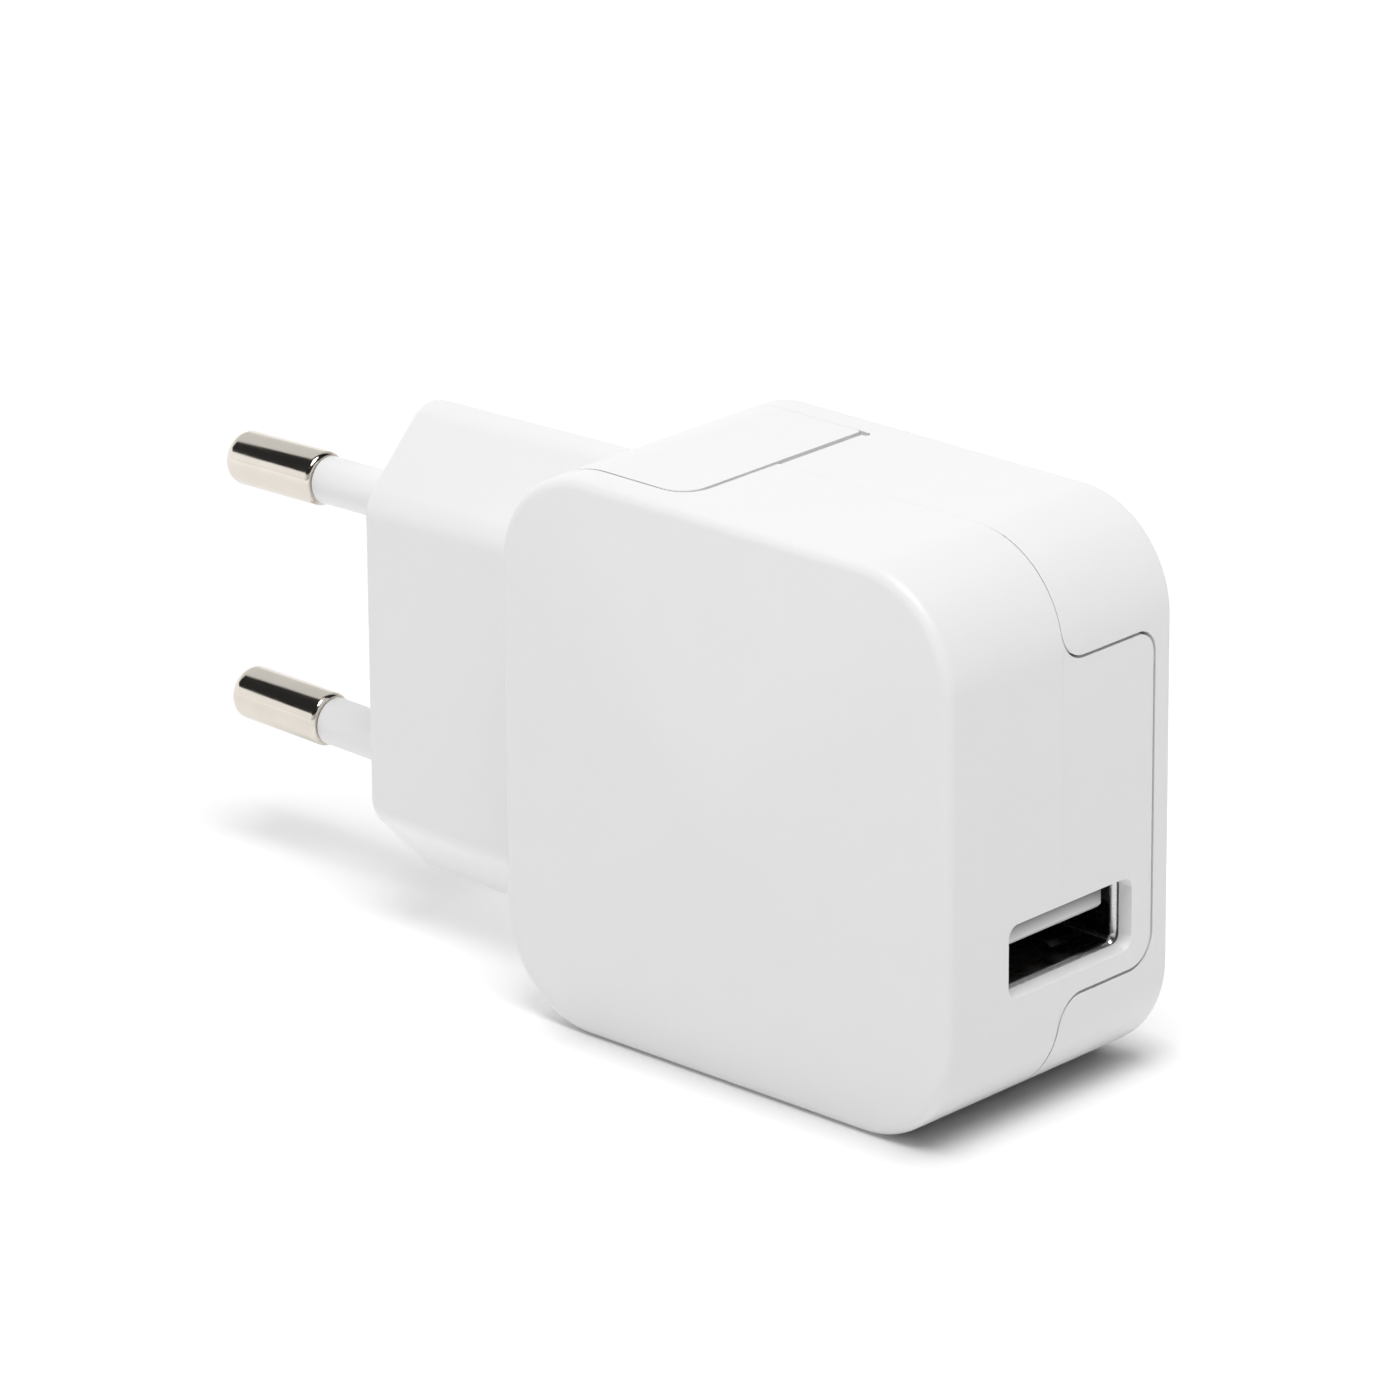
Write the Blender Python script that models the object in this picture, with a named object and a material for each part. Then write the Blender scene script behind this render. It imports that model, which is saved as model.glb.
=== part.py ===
"""A USB wall charger with a slide-off two-pin plug head.

The charger body is a rounded block: two shells that meet round its middle, a bay in its upper
corner for the plug head, a USB-A socket in its +X wall, and a small switching supply inside.
The plug head is a hexagonal euro plug with a corner block that slides into the bay along X.

Every outline below is in millimetres, in the body's own frame: X runs from the pins (-X) to the
USB socket (+X), Y from the front face to the rear face, Z up from the face the charger stands on.
The meshes are stored in metres and hang on an empty that puts the origin under the middle of the
whole charger, pins included.
"""
import math

import bmesh
import bpy
from mathutils import Matrix, Vector

MM = 0.001
GAP = 0.3                 # clearance between pieces that would touch
BEYOND = 5.0              # how far a cutter reaches past the surface that it cuts

# Charger body
BODY_WIDTH = 41.0
BODY_HEIGHT = 40.65
BODY_DEPTH = 23.0         # at the rim of the two big faces
CORNER_RADIUS = 7.8
RIM_RADIUS = 0.8
FACE_CROWN = 1.3          # the big faces rise this much from rim to centre
WALL = 1.6
SIDE = BODY_WIDTH / 2
MIDDLE = BODY_HEIGHT / 2
HALF_DEPTH = BODY_DEPTH / 2

# Tongue of the front shell in the +X wall, and the USB window through it
TONGUE_REACH = 9.47
TONGUE_LOW = 8.25
TONGUE_HIGH = 32.44
TONGUE_LOW_RADIUS = 2.3
TONGUE_HIGH_RADIUS = 1.65
SEAM_SWEEP = 2.15         # radius where the parting line swings from the middle to the tongue
SPLIT_X = 14.0            # the tongue lies beyond this X, the plain parting line before it
USB_Y = 1.05
USB_Z = 12.5
WINDOW_WIDTH = 12.7
WINDOW_HEIGHT = 5.24
WINDOW_RADIUS = 0.9
WINDOW_LIP = 1.0          # wall left round the window in front of the socket's mouth

# USB socket: its metal sleeve opens out a little at the mouth
USB_BACK = 5.0
USB_MOUTH = SIDE - WINDOW_LIP - 0.4
USB_INNER_WIDTH = 12.5
USB_INNER_HEIGHT = 5.12
USB_SHEET = 0.3
USB_FLARE = 0.3

# Bay in the corner of the body, and the block of the plug head that fills it
BAY_FRONT = -9.2
BAY_REAR = 8.9
BAY_END = -5.1            # wall with the figure-eight inlet
BAY_FLOOR = 26.2
BAY_MID = (BAY_FRONT + BAY_REAR) / 2
BAY_CORNER = 2.3
INLET_Z = 33.0
INLET_SPACING = 8.6
NOSE_RADIUS = 2.9
NOSE_LENGTH = 7.2
INLET_PIN_RADIUS = 1.2
STUD_X = -12.0            # lock stud in the bay's floor
STUD_RADIUS = 1.5

# Plug head
HEAD_END = -38.47         # face that the pins stand on
HEAD_Z = 20.27
HEX_HALF_DEPTH = 6.75
HEX_SHOULDER = 11.73      # half height of the straight flanks
HEX_APEX = 18.61          # half height of the sharp hexagon before its top is rounded
HEX_DRAFT = 0.027         # growth of the half height for each millimetre towards the body
HEAD_WALL = 1.6
CHEEK = 1.2               # side walls of the corner block

# Pins
PIN_SPACING = 18.87       # at the plug head's end face
PIN_LEAN = math.radians(1.3)
PIN_RADIUS = 2.0
PIN_BARE = 9.0
SLEEVE_LENGTH = 10.15
SLEEVE_RADIUS = 1.75
NECK_RADIUS = 1.1
PIN_TAIL = 14.2           # from the end face back to the soldered end

# Distance from the body's centre plane to the middle of the whole charger
TOTAL_BACK = HEAD_END - SLEEVE_LENGTH - PIN_BARE
BODY_X = -(SIDE + TOTAL_BACK) / 2


# ---------------------------------------------------------------- helpers: objects and materials

def clear_scene():
    """Remove every object of the open scene."""
    for item in list(bpy.data.objects):
        bpy.data.objects.remove(item, do_unlink=True)


# Base colour, roughness and metallic value of every material
FINISHES = {
    "white_plastic": ((0.86, 0.86, 0.86), 0.45, 0.0),
    "sleeve_plastic": ((0.88, 0.88, 0.87), 0.35, 0.0),
    "light_grey_plastic": ((0.80, 0.80, 0.80), 0.5, 0.0),
    "nickel": ((0.72, 0.70, 0.66), 0.22, 1.0),
    "brass": ((0.78, 0.60, 0.30), 0.35, 1.0),
    "steel": ((0.62, 0.62, 0.63), 0.28, 1.0),
    "gold_contact": ((0.83, 0.66, 0.36), 0.25, 1.0),
    "copper": ((0.72, 0.35, 0.18), 0.35, 1.0),
    "board_green": ((0.05, 0.22, 0.10), 0.45, 0.0),
    "ferrite": ((0.07, 0.07, 0.08), 0.7, 0.0),
    "bobbin_black": ((0.04, 0.04, 0.04), 0.5, 0.0),
    "chip_black": ((0.03, 0.03, 0.03), 0.55, 0.0),
    "yellow_tape": ((0.85, 0.68, 0.12), 0.4, 0.0),
    "capacitor_sleeve": ((0.08, 0.09, 0.13), 0.35, 0.0),
    "ceramic_blue": ((0.10, 0.28, 0.62), 0.4, 0.0),
    "barrier_film": ((0.82, 0.84, 0.86), 0.3, 0.0),
    "jacket_front": ((0.32, 0.16, 0.08), 0.45, 0.0),
    "jacket_rear": ((0.10, 0.25, 0.60), 0.45, 0.0),
}


def finish(name):
    """Return the Principled material of this name, made once."""
    found = bpy.data.materials.get(name)
    if found:
        return found
    color, roughness, metallic = FINISHES[name]
    made = bpy.data.materials.new(name)
    made.use_nodes = True
    shader = made.node_tree.nodes["Principled BSDF"]
    shader.inputs["Base Color"].default_value = (*color, 1.0)
    shader.inputs["Roughness"].default_value = roughness
    shader.inputs["Metallic"].default_value = metallic
    made.diffuse_color = (*color, 1.0)
    return made


# ---------------------------------------------------------------- helpers: outlines

def arc(center_u, center_v, radius, start, end, steps):
    """Points on an arc, both ends included, angles in degrees."""
    points = []
    for step in range(steps + 1):
        angle = math.radians(start + (end - start) * step / steps)
        points.append((center_u + radius * math.cos(angle), center_v + radius * math.sin(angle)))
    return points


def rounded(corners, steps=4):
    """A closed outline from (u, v, radius) corners, each radius drawn as an arc."""
    outline = []
    count = len(corners)
    for index, (u, v, radius) in enumerate(corners):
        here = Vector((u, v))
        if radius <= 0:
            outline.append((u, v))
            continue
        before = (Vector(corners[index - 1][:2]) - here).normalized()
        after = (Vector(corners[(index + 1) % count][:2]) - here).normalized()
        half = before.angle(after) / 2
        center = here + (before + after).normalized() * (radius / math.sin(half))
        first = here + before * (radius / math.tan(half)) - center
        turn = math.pi - 2 * half
        side = 1 if before.cross(after) < 0 else -1
        for step in range(steps + 1):
            spoke = Matrix.Rotation(side * turn * step / steps, 2) @ first
            outline.append(tuple(center + spoke))
    return outline


def rectangle(center_u, center_v, width, height, radius=0.0, steps=4):
    """A rectangle, or a rounded one, about its centre."""
    u, v = width / 2, height / 2
    corners = [(u, v), (-u, v), (-u, -v), (u, -v)]
    return rounded([(center_u + a, center_v + b, radius) for a, b in corners], steps)


def body_outline(inset=0.0):
    """The body's rounded square in X and Z, drawn in from its surface by inset."""
    radius = CORNER_RADIUS - inset
    return rectangle(0, MIDDLE, BODY_WIDTH - 2 * inset, BODY_HEIGHT - 2 * inset, radius, 8)


def hexagon(x, inset=0.0):
    """The plug's hexagonal section in Y and Z, at one place along its length."""
    growth = HEX_DRAFT * (x - HEAD_END)
    apex = HEX_APEX + growth - inset * math.sqrt(2)
    shoulder = HEX_SHOULDER + growth - inset * math.tan(math.radians(22.5))
    flank = HEX_HALF_DEPTH - inset
    soft = 3.0 - inset
    tip = 2.4 - inset / 2
    corners = [(0, apex, tip), (-flank, shoulder, soft), (-flank, -shoulder, soft),
               (0, -apex, tip), (flank, -shoulder, soft), (flank, shoulder, soft)]
    return [(y, HEAD_Z + z) for y, z in rounded(corners, 5)]


def figure_eight(radius):
    """Two round lobes joined by a slightly narrower web, in Y and Z."""
    half = INLET_SPACING / 2
    right = arc(BAY_MID + half, INLET_Z, radius, -120, 120, 12)
    left = arc(BAY_MID - half, INLET_Z, radius, 60, 300, 12)
    return right + left


def seam_path(shift):
    """The parting line in Y and Z, bottom to top, moved by shift towards the rear."""
    sweep = SEAM_SWEEP
    low = arc(sweep, TONGUE_LOW - sweep, sweep - shift, 180, 90, 5)
    low_corner = arc(TONGUE_REACH - TONGUE_LOW_RADIUS, TONGUE_LOW + TONGUE_LOW_RADIUS,
                     TONGUE_LOW_RADIUS + shift, -90, 0, 5)
    high_corner = arc(TONGUE_REACH - TONGUE_HIGH_RADIUS, TONGUE_HIGH - TONGUE_HIGH_RADIUS,
                      TONGUE_HIGH_RADIUS + shift, 0, 90, 5)
    high = arc(sweep, TONGUE_HIGH + sweep, sweep - shift, 270, 180, 5)
    above = (shift, BODY_HEIGHT + BEYOND)
    below = (shift, -BEYOND)
    return [below] + low + low_corner + high_corner + high + [above]


# ---------------------------------------------------------------- helpers: solids

SMOOTH_ANGLE = 35         # degrees: sharper edges stay sharp


def place(axis, u, v, along):
    """Turn outline coordinates and a position along an axis into a point."""
    if axis == "X":
        return (along, u, v)
    if axis == "Y":
        return (u, along, v)
    return (u, v, along)


def add_solid(name, points, faces, material, parent):
    """Make an object from points in millimetres, with its faces turned outwards."""
    mesh = bpy.data.meshes.new(name)
    mesh.from_pydata([Vector(point) * MM for point in points], [], faces)
    work = bmesh.new()
    work.from_mesh(mesh)
    bmesh.ops.recalc_face_normals(work, faces=work.faces)
    work.to_mesh(mesh)
    work.free()
    mesh.shade_smooth()
    mesh.set_sharp_from_angle(angle=math.radians(SMOOTH_ANGLE))
    mesh.materials.append(finish(material))
    made = bpy.data.objects.new(name, mesh)
    bpy.context.scene.collection.objects.link(made)
    made.parent = parent
    return made


def loft(name, rings, material, parent):
    """Join rings of equal length into one closed solid; a ring of one point is a pole."""
    points = []
    starts = []
    for ring in rings:
        starts.append(len(points))
        points.extend(ring)
    faces = []
    for index in range(len(rings) - 1):
        a, b = starts[index], starts[index + 1]
        count_a, count_b = len(rings[index]), len(rings[index + 1])
        count = max(count_a, count_b)
        for step in range(count):
            after = (step + 1) % count
            if count_a == 1:
                faces.append((a, b + after, b + step))
            elif count_b == 1:
                faces.append((a + step, a + after, b))
            else:
                faces.append((a + step, a + after, b + after, b + step))
    for index in (0, len(rings) - 1):
        count = len(rings[index])
        if count > 2:
            faces.append(tuple(starts[index] + step for step in range(count)))
    return add_solid(name, points, faces, material, parent)


def prism(name, outline, axis, low, high, material, parent):
    """Extrude an outline along an axis."""
    rings = [[place(axis, u, v, along) for u, v in outline] for along in (low, high)]
    return loft(name, rings, material, parent)


def block(name, low, high, material, parent, radius=0.0):
    """A box between two corners, its edges along Z rounded."""
    outline = rectangle((low[0] + high[0]) / 2, (low[1] + high[1]) / 2,
                        high[0] - low[0], high[1] - low[1], radius, 3)
    return prism(name, outline, "Z", low[2], high[2], material, parent)


def turned(name, profile, axis, center_u, center_v, material, parent, steps=20):
    """Turn (along, radius) points round an axis; a radius of 0 at an end makes a pole."""
    rings = []
    for along, radius in profile:
        if radius == 0:
            rings.append([place(axis, center_u, center_v, along)])
            continue
        circle = arc(center_u, center_v, radius, 0, 360 - 360 / steps, steps - 1)
        rings.append([place(axis, u, v, along) for u, v in circle])
    return loft(name, rings, material, parent)


def swept(name, path, section, material, parent):
    """Carry a small section of (side, up) offsets along a path of points."""
    spine = [Vector(point) for point in path]
    rings = []
    side = None
    for index, point in enumerate(spine):
        before = spine[max(index - 1, 0)]
        after = spine[min(index + 1, len(spine) - 1)]
        ahead = (after - before).normalized()
        if side is None:
            side = Vector((0, 1, 0))
        side = (side - ahead * side.dot(ahead)).normalized()
        up = ahead.cross(side)
        rings.append([tuple(point + side * a + up * b) for a, b in section])
    return loft(name, rings, material, parent)


def as_cutter(tool):
    """Hide a helper solid from renders and from the finished set of pieces."""
    tool.hide_render = True
    tool.display_type = "WIRE"
    return tool


def combine(target, tool, operation):
    """Add a live Boolean to a piece."""
    as_cutter(tool)
    step = target.modifiers.new(tool.name, "BOOLEAN")
    step.operation = operation
    step.solver = "EXACT"
    step.object = tool


def cut(target, tool):
    """Take a tool's volume away from a piece."""
    combine(target, tool, "DIFFERENCE")


def join(target, tool):
    """Add a tool's volume to a piece."""
    combine(target, tool, "UNION")


# ---------------------------------------------------------------- charger body

def shell_cup(name, side, reach, parent):
    """One half of the casing as an open cup that ends at Y = reach; side is -1 for the front."""
    rings = [[(0, side * (HALF_DEPTH + FACE_CROWN), MIDDLE)]]
    for degrees in (0, 30, 60, 90):
        angle = math.radians(degrees)
        inset = RIM_RADIUS * (1 - math.sin(angle))
        y = side * (HALF_DEPTH - RIM_RADIUS * (1 - math.cos(angle)))
        rings.append([(x, y, z) for x, z in body_outline(inset)])
    rings.append([(x, reach, z) for x, z in body_outline()])
    rings.append([(x, reach, z) for x, z in body_outline(WALL)])
    floor = side * (HALF_DEPTH - WALL)
    rings.append([(x, floor, z) for x, z in body_outline(WALL)])
    rings.append([(0, floor, MIDDLE)])
    return loft(name, rings, "white_plastic", parent)


def bay_cutter(name, parent):
    """The corner opening for the plug head, through the top and -X walls."""
    outside = -SIDE - BEYOND
    outline = rounded([(outside, BAY_FRONT, 0), (BAY_END, BAY_FRONT, BAY_CORNER),
                       (BAY_END, BAY_REAR, 0.6), (outside, BAY_REAR, 0)])
    return prism(name, outline, "Z", BAY_FLOOR, BODY_HEIGHT + BEYOND, "white_plastic", parent)


def make_front_shell(parent):
    """Front half of the casing, with the tongue that wraps the +X wall and the USB window in it."""
    shell = shell_cup("front_shell", -1, HALF_DEPTH - 1.0, parent)
    edge = -GAP / 2
    far = HALF_DEPTH + BEYOND
    above = BODY_HEIGHT + BEYOND
    behind = block("front_trim", (-SIDE - BEYOND, edge, -BEYOND), (SPLIT_X + 1, far, above),
                   "white_plastic", parent)
    cut(shell, behind)
    outline = seam_path(edge) + [(far, above), (far, -BEYOND)]
    trim = prism("front_tongue_trim", outline, "X", SPLIT_X, SIDE + BEYOND, "white_plastic", parent)
    cut(shell, trim)
    cut(shell, bay_cutter("front_bay_trim", parent))
    inside = SIDE - 2 * WALL
    window = rectangle(USB_Y, USB_Z, WINDOW_WIDTH, WINDOW_HEIGHT, WINDOW_RADIUS)
    cut(shell, prism("usb_window", window, "X", inside, SIDE + BEYOND, "white_plastic", parent))
    room = 2 * (USB_SHEET + USB_FLARE + GAP)
    pocket = rectangle(USB_Y, USB_Z, USB_INNER_WIDTH + room, USB_INNER_HEIGHT + room, WINDOW_RADIUS)
    cut(shell, prism("usb_pocket", pocket, "X", inside, SIDE - WINDOW_LIP, "white_plastic", parent))
    return shell


def make_rear_shell(parent):
    """Rear half of the casing, cut away where the front half's tongue lies."""
    edge = GAP / 2
    shell = shell_cup("rear_shell", 1, edge, parent)
    near = edge - BEYOND
    outline = seam_path(edge) + [(near, BODY_HEIGHT + BEYOND), (near, -BEYOND)]
    trim = prism("rear_tongue_trim", outline, "X", SPLIT_X + 1, SIDE + BEYOND, "white_plastic", parent)
    cut(shell, trim)
    cut(shell, bay_cutter("rear_bay_trim", parent))
    return shell


def make_inlet_housing(parent):
    """Floor and end wall of the bay, with the figure-eight well in the end wall."""
    thick = 1.2
    low = BAY_FLOOR - thick - 0.1
    top = BODY_HEIGHT - WALL - GAP
    left = -SIDE + WALL + GAP
    half = HALF_DEPTH - WALL - GAP
    outline = [(left, low), (BAY_END + thick, low), (BAY_END + thick, top), (BAY_END, top),
               (BAY_END, BAY_FLOOR), (left, BAY_FLOOR)]
    housing = prism("inlet_housing", outline, "Y", -half, half, "light_grey_plastic", parent)
    well_end = BAY_END + NOSE_LENGTH
    outer = figure_eight(NOSE_RADIUS + GAP + 1.0)
    inner = figure_eight(NOSE_RADIUS + GAP)
    join(housing, prism("well_outer", outer, "X", BAY_END + 0.4, well_end + 1.0,
                        "light_grey_plastic", parent))
    cut(housing, prism("well_inner", inner, "X", BAY_END - 1, well_end,
                       "light_grey_plastic", parent))
    for label, y in inlet_places():
        hole = [(well_end - 1, INLET_PIN_RADIUS + GAP), (well_end + 2, INLET_PIN_RADIUS + GAP)]
        cut(housing, turned("pin_hole_" + label, hole, "X", y, INLET_Z,
                            "light_grey_plastic", parent, 16))
    stud_hole = [(BAY_FLOOR - BEYOND, STUD_RADIUS + GAP), (BAY_FLOOR + 1, STUD_RADIUS + GAP)]
    cut(housing, turned("stud_hole", stud_hole, "Z", STUD_X, BAY_MID,
                        "light_grey_plastic", parent, 16))
    return housing


def inlet_places():
    """The two contact positions across the bay."""
    return (("front", BAY_MID - INLET_SPACING / 2), ("rear", BAY_MID + INLET_SPACING / 2))


def make_lock_stud(parent):
    """Metal mushroom in the bay's floor that the head's slot hooks under."""
    foot, cap = BAY_FLOOR - 2.6, BAY_FLOOR + 3.3
    foot_radius, cap_radius = 2.5, 3.2
    profile = [(foot, 0), (foot, foot_radius), (foot + 1.0, foot_radius), (foot + 1.0, STUD_RADIUS),
               (cap - 1.4, STUD_RADIUS), (cap - 1.4, cap_radius), (cap - 0.4, cap_radius),
               (cap, cap_radius - 0.5), (cap, 0)]
    return turned("lock_stud", profile, "Z", STUD_X, BAY_MID, "steel", parent, 20)


def make_inlet_pins(parent):
    """Two round contacts in the well, rounded at their free ends."""
    tip = BAY_END + 1.2
    tail = BAY_END + NOSE_LENGTH + 1.8
    r = INLET_PIN_RADIUS
    profile = [(tip, 0), (tip, r * 0.45), (tip + 0.25, r * 0.8), (tip + 0.8, r), (tail, r), (tail, 0)]
    for label, y in inlet_places():
        turned("inlet_pin_" + label, profile, "X", y, INLET_Z, "nickel", parent, 16)


# ---------------------------------------------------------------- USB socket

BOARD_TOP = USB_Z - USB_INNER_HEIGHT / 2 - USB_SHEET - 0.4


def usb_sleeve_outline(grow, radius):
    """The sleeve's section, this much larger than its inside."""
    return rectangle(USB_Y, USB_Z, USB_INNER_WIDTH + 2 * grow, USB_INNER_HEIGHT + 2 * grow, radius, 3)


SPRING_X = (13.6, 17.2)
SPRING_OFFSET = 3.15      # from the socket's middle to each spring
SPRING_HALF_WIDTH = 1.1
SPRING_DEPTH = 0.6


def make_usb_shell(parent):
    """Folded metal sleeve of the socket, with the four spring windows cut in it."""
    outside = USB_SHEET
    bend = USB_MOUTH - 0.5
    stations = ((outside, 0.9, USB_BACK), (outside, 0.9, bend),
                (outside + USB_FLARE, 1.2, USB_MOUTH), (USB_FLARE, 0.9, USB_MOUTH),
                (0.0, 0.6, bend), (0.0, 0.6, USB_BACK))
    rings = []
    for grow, radius, x in stations:
        rings.append([place("X", y, z, x) for y, z in usb_sleeve_outline(grow, radius)])
    sleeve = loft_ring("usb_shell", rings, "steel", parent)
    for side in (-1, 1):
        for level in (-1, 1):
            y = USB_Y + side * SPRING_OFFSET
            z = USB_Z + level * (USB_INNER_HEIGHT + USB_SHEET) / 2
            low = (SPRING_X[0], y - SPRING_HALF_WIDTH, z - SPRING_DEPTH)
            high = (SPRING_X[1], y + SPRING_HALF_WIDTH, z + SPRING_DEPTH)
            label = "spring_window_%d_%d" % (side + 1, level + 1)
            cut(sleeve, block(label, low, high, "steel", parent, 0.3))
    return sleeve


def loft_ring(name, rings, material, parent):
    """A closed tube wall: the last ring joins back to the first."""
    points = [point for ring in rings for point in ring]
    count = len(rings[0])
    total = len(rings)
    faces = []
    for index in range(total):
        a = index * count
        b = ((index + 1) % total) * count
        for step in range(count):
            after = (step + 1) % count
            faces.append((a + step, a + after, b + after, b + step))
    return add_solid(name, points, faces, material, parent)


CONTACT_TONGUE_THICK = 1.84
CONTACT_TONGUE_HALF = 5.55
TONGUE_UNDER = USB_Z
TONGUE_TOP = TONGUE_UNDER + CONTACT_TONGUE_THICK
CONTACT_OFFSETS = (-3.5, -1.0, 1.0, 3.5)


def make_usb_insulator(parent):
    """Moulded block at the back of the socket with the contact tongue standing out of it."""
    half_width = USB_INNER_WIDTH / 2 - 0.25
    half_height = USB_INNER_HEIGHT / 2 - 0.25
    low = USB_Z - half_height
    high = USB_Z + half_height
    tip = USB_MOUTH - 0.7
    base = USB_BACK + 4.0
    chamfer = 0.4
    side = [(USB_BACK + 0.2, low), (base, low), (base, TONGUE_UNDER), (tip - chamfer, TONGUE_UNDER),
            (tip, TONGUE_UNDER + chamfer), (tip, TONGUE_TOP - chamfer), (tip - chamfer, TONGUE_TOP),
            (base, TONGUE_TOP), (base, high), (USB_BACK + 0.2, high)]
    body = prism("usb_insulator", side, "Y", USB_Y - half_width, USB_Y + half_width,
                 "light_grey_plastic", parent)
    for label, sign in (("front", -1), ("rear", 1)):
        near = USB_Y + sign * CONTACT_TONGUE_HALF
        beyond = USB_Y + sign * 7.5
        trim = block("tongue_trim_" + label, (base, min(near, beyond), low - 1),
                     (tip + 1, max(near, beyond), high + 1), "light_grey_plastic", parent)
        cut(body, trim)
    slot = block("contact_slot", (USB_BACK - 1, USB_Y - 4.6, TONGUE_UNDER - 0.85),
                 (base + 0.2, USB_Y + 4.6, TONGUE_UNDER), "light_grey_plastic", parent)
    cut(body, slot)
    return body


def make_usb_contacts(parent):
    """Four sprung strips under the tongue."""
    high = TONGUE_UNDER - 0.25
    strip = 0.3
    for number, offset in enumerate(CONTACT_OFFSETS, 1):
        y = USB_Y + offset
        path = [(USB_BACK + 0.4, high), (USB_MOUTH - 4.0, high), (USB_MOUTH - 2.6, high - 0.35),
                (USB_MOUTH - 1.4, high)]
        outline = path + [(x, z - strip) for x, z in reversed(path)]
        prism("usb_contact_%d" % number, outline, "Y", y - 0.5, y + 0.5, "gold_contact", parent)


def make_usb_board(parent):
    """Small board under the socket."""
    low = (USB_BACK + 0.2, USB_Y - 7.25, BOARD_TOP - 1.0)
    high = (SIDE - 2.7, USB_Y + 6.75, BOARD_TOP)
    block("usb_board", low, high, "board_green", parent, 0.5)


# ---------------------------------------------------------------- supply board and components

BOARD_FRONT = 8.4
BOARD_REAR = 9.4


def make_main_board(parent):
    """Upright board along the rear shell, cut back below the bay."""
    outline = [(-18.2, 6.2), (-14.2, 2.2), (14.2, 2.2), (18.2, 6.2), (18.2, 34.4), (14.2, 38.4),
               (5.5, 38.4), (5.5, 24.2), (-18.2, 24.2)]
    prism("main_board", outline, "Y", BOARD_FRONT, BOARD_REAR, "board_green", parent)


def can(name, radius, length, x, z, parent):
    """An electrolytic capacitor standing on the main board."""
    base = BOARD_FRONT - GAP
    end = base - length
    groove = base - 1.6
    profile = [(base, 0), (base, radius - 0.5), (base - 0.3, radius - 0.1), (groove + 0.4, radius),
               (groove, radius - 0.45), (groove - 0.4, radius), (end + 0.35, radius),
               (end, radius - 0.35), (end, radius - 1.0), (end + 0.25, radius - 1.3), (end + 0.25, 0)]
    turned(name, profile, "Y", x, z, "capacitor_sleeve", parent, 20)


# Name, radius, length, and place on the board in X and Z
CAPACITORS = (
    ("input_capacitor_upper", 4.0, 15.0, -13.7, 19.6),
    ("input_capacitor_lower", 4.0, 15.0, -13.7, 10.9),
    ("output_capacitor_upper", 3.15, 12.0, 0.6, 20.5),
    ("output_capacitor_lower", 3.15, 12.0, 0.6, 13.6),
)


def make_capacitors(parent):
    """Two input and two output electrolytic capacitors."""
    for name, radius, length, x, z in CAPACITORS:
        can(name, radius, length, x, z, parent)


CORE_X = 11.9
CORE_Y = 1.4
CORE_Z = 27.0
CORE_WIDTH = 11.4
CORE_HEIGHT = 18.4
CORE_DEPTH = 6.0
CORE_LEG = 1.4            # half width of the centre leg
CORE_OUTER_LEG = 1.5
CORE_BACK = 2.2


def core_half(name, sign, parent):
    """One E-shaped ferrite half; sign is 1 for the upper half."""
    half = CORE_WIDTH / 2
    inner = half - CORE_OUTER_LEG
    top = CORE_HEIGHT / 2
    meet = 0.15
    shape = [(-half, top), (half, top), (half, meet), (inner, meet), (inner, top - CORE_BACK),
             (CORE_LEG, top - CORE_BACK), (CORE_LEG, meet), (-CORE_LEG, meet),
             (-CORE_LEG, top - CORE_BACK), (-inner, top - CORE_BACK), (-inner, meet), (-half, meet)]
    outline = [(CORE_X + u, CORE_Z + sign * v) for u, v in shape]
    prism(name, outline, "Y", CORE_Y - CORE_DEPTH / 2, CORE_Y + CORE_DEPTH / 2, "ferrite", parent)


def winding(name, inner_grow, outer_grow, low, high, material, parent):
    """A band round the centre leg, between two distances from the leg."""
    rings = []
    for grow, z in ((outer_grow, low), (outer_grow, high), (inner_grow, high), (inner_grow, low)):
        outline = rectangle(CORE_X, CORE_Y, 2 * (CORE_LEG + grow), CORE_DEPTH + 2 * grow,
                            max(grow, 0.3), 3)
        rings.append([(x, y, CORE_Z + z) for x, y in outline])
    return loft_ring(name, rings, material, parent)


def make_transformer(parent):
    """Two ferrite halves, the bobbin, two windings and the outer tape."""
    core_half("transformer_core_upper", 1, parent)
    core_half("transformer_core_lower", -1, parent)
    reach = CORE_HEIGHT / 2 - CORE_BACK - 0.3
    bobbin = winding("transformer_bobbin", 0.2, 0.6, -reach, reach, "bobbin_black", parent)
    for label, low in (("low", -reach), ("high", reach - 0.5)):
        flange = winding("bobbin_flange_" + label, 0.2, 2.3, low, low + 0.5, "bobbin_black", parent)
        join(bobbin, flange)
    inside = reach - 0.8
    winding("primary_winding", 0.8, 1.3, -inside, inside, "copper", parent)
    winding("secondary_winding", 1.5, 1.9, -inside, inside, "copper", parent)
    winding("winding_tape", 2.05, 2.25, -inside, inside, "yellow_tape", parent)


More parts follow.
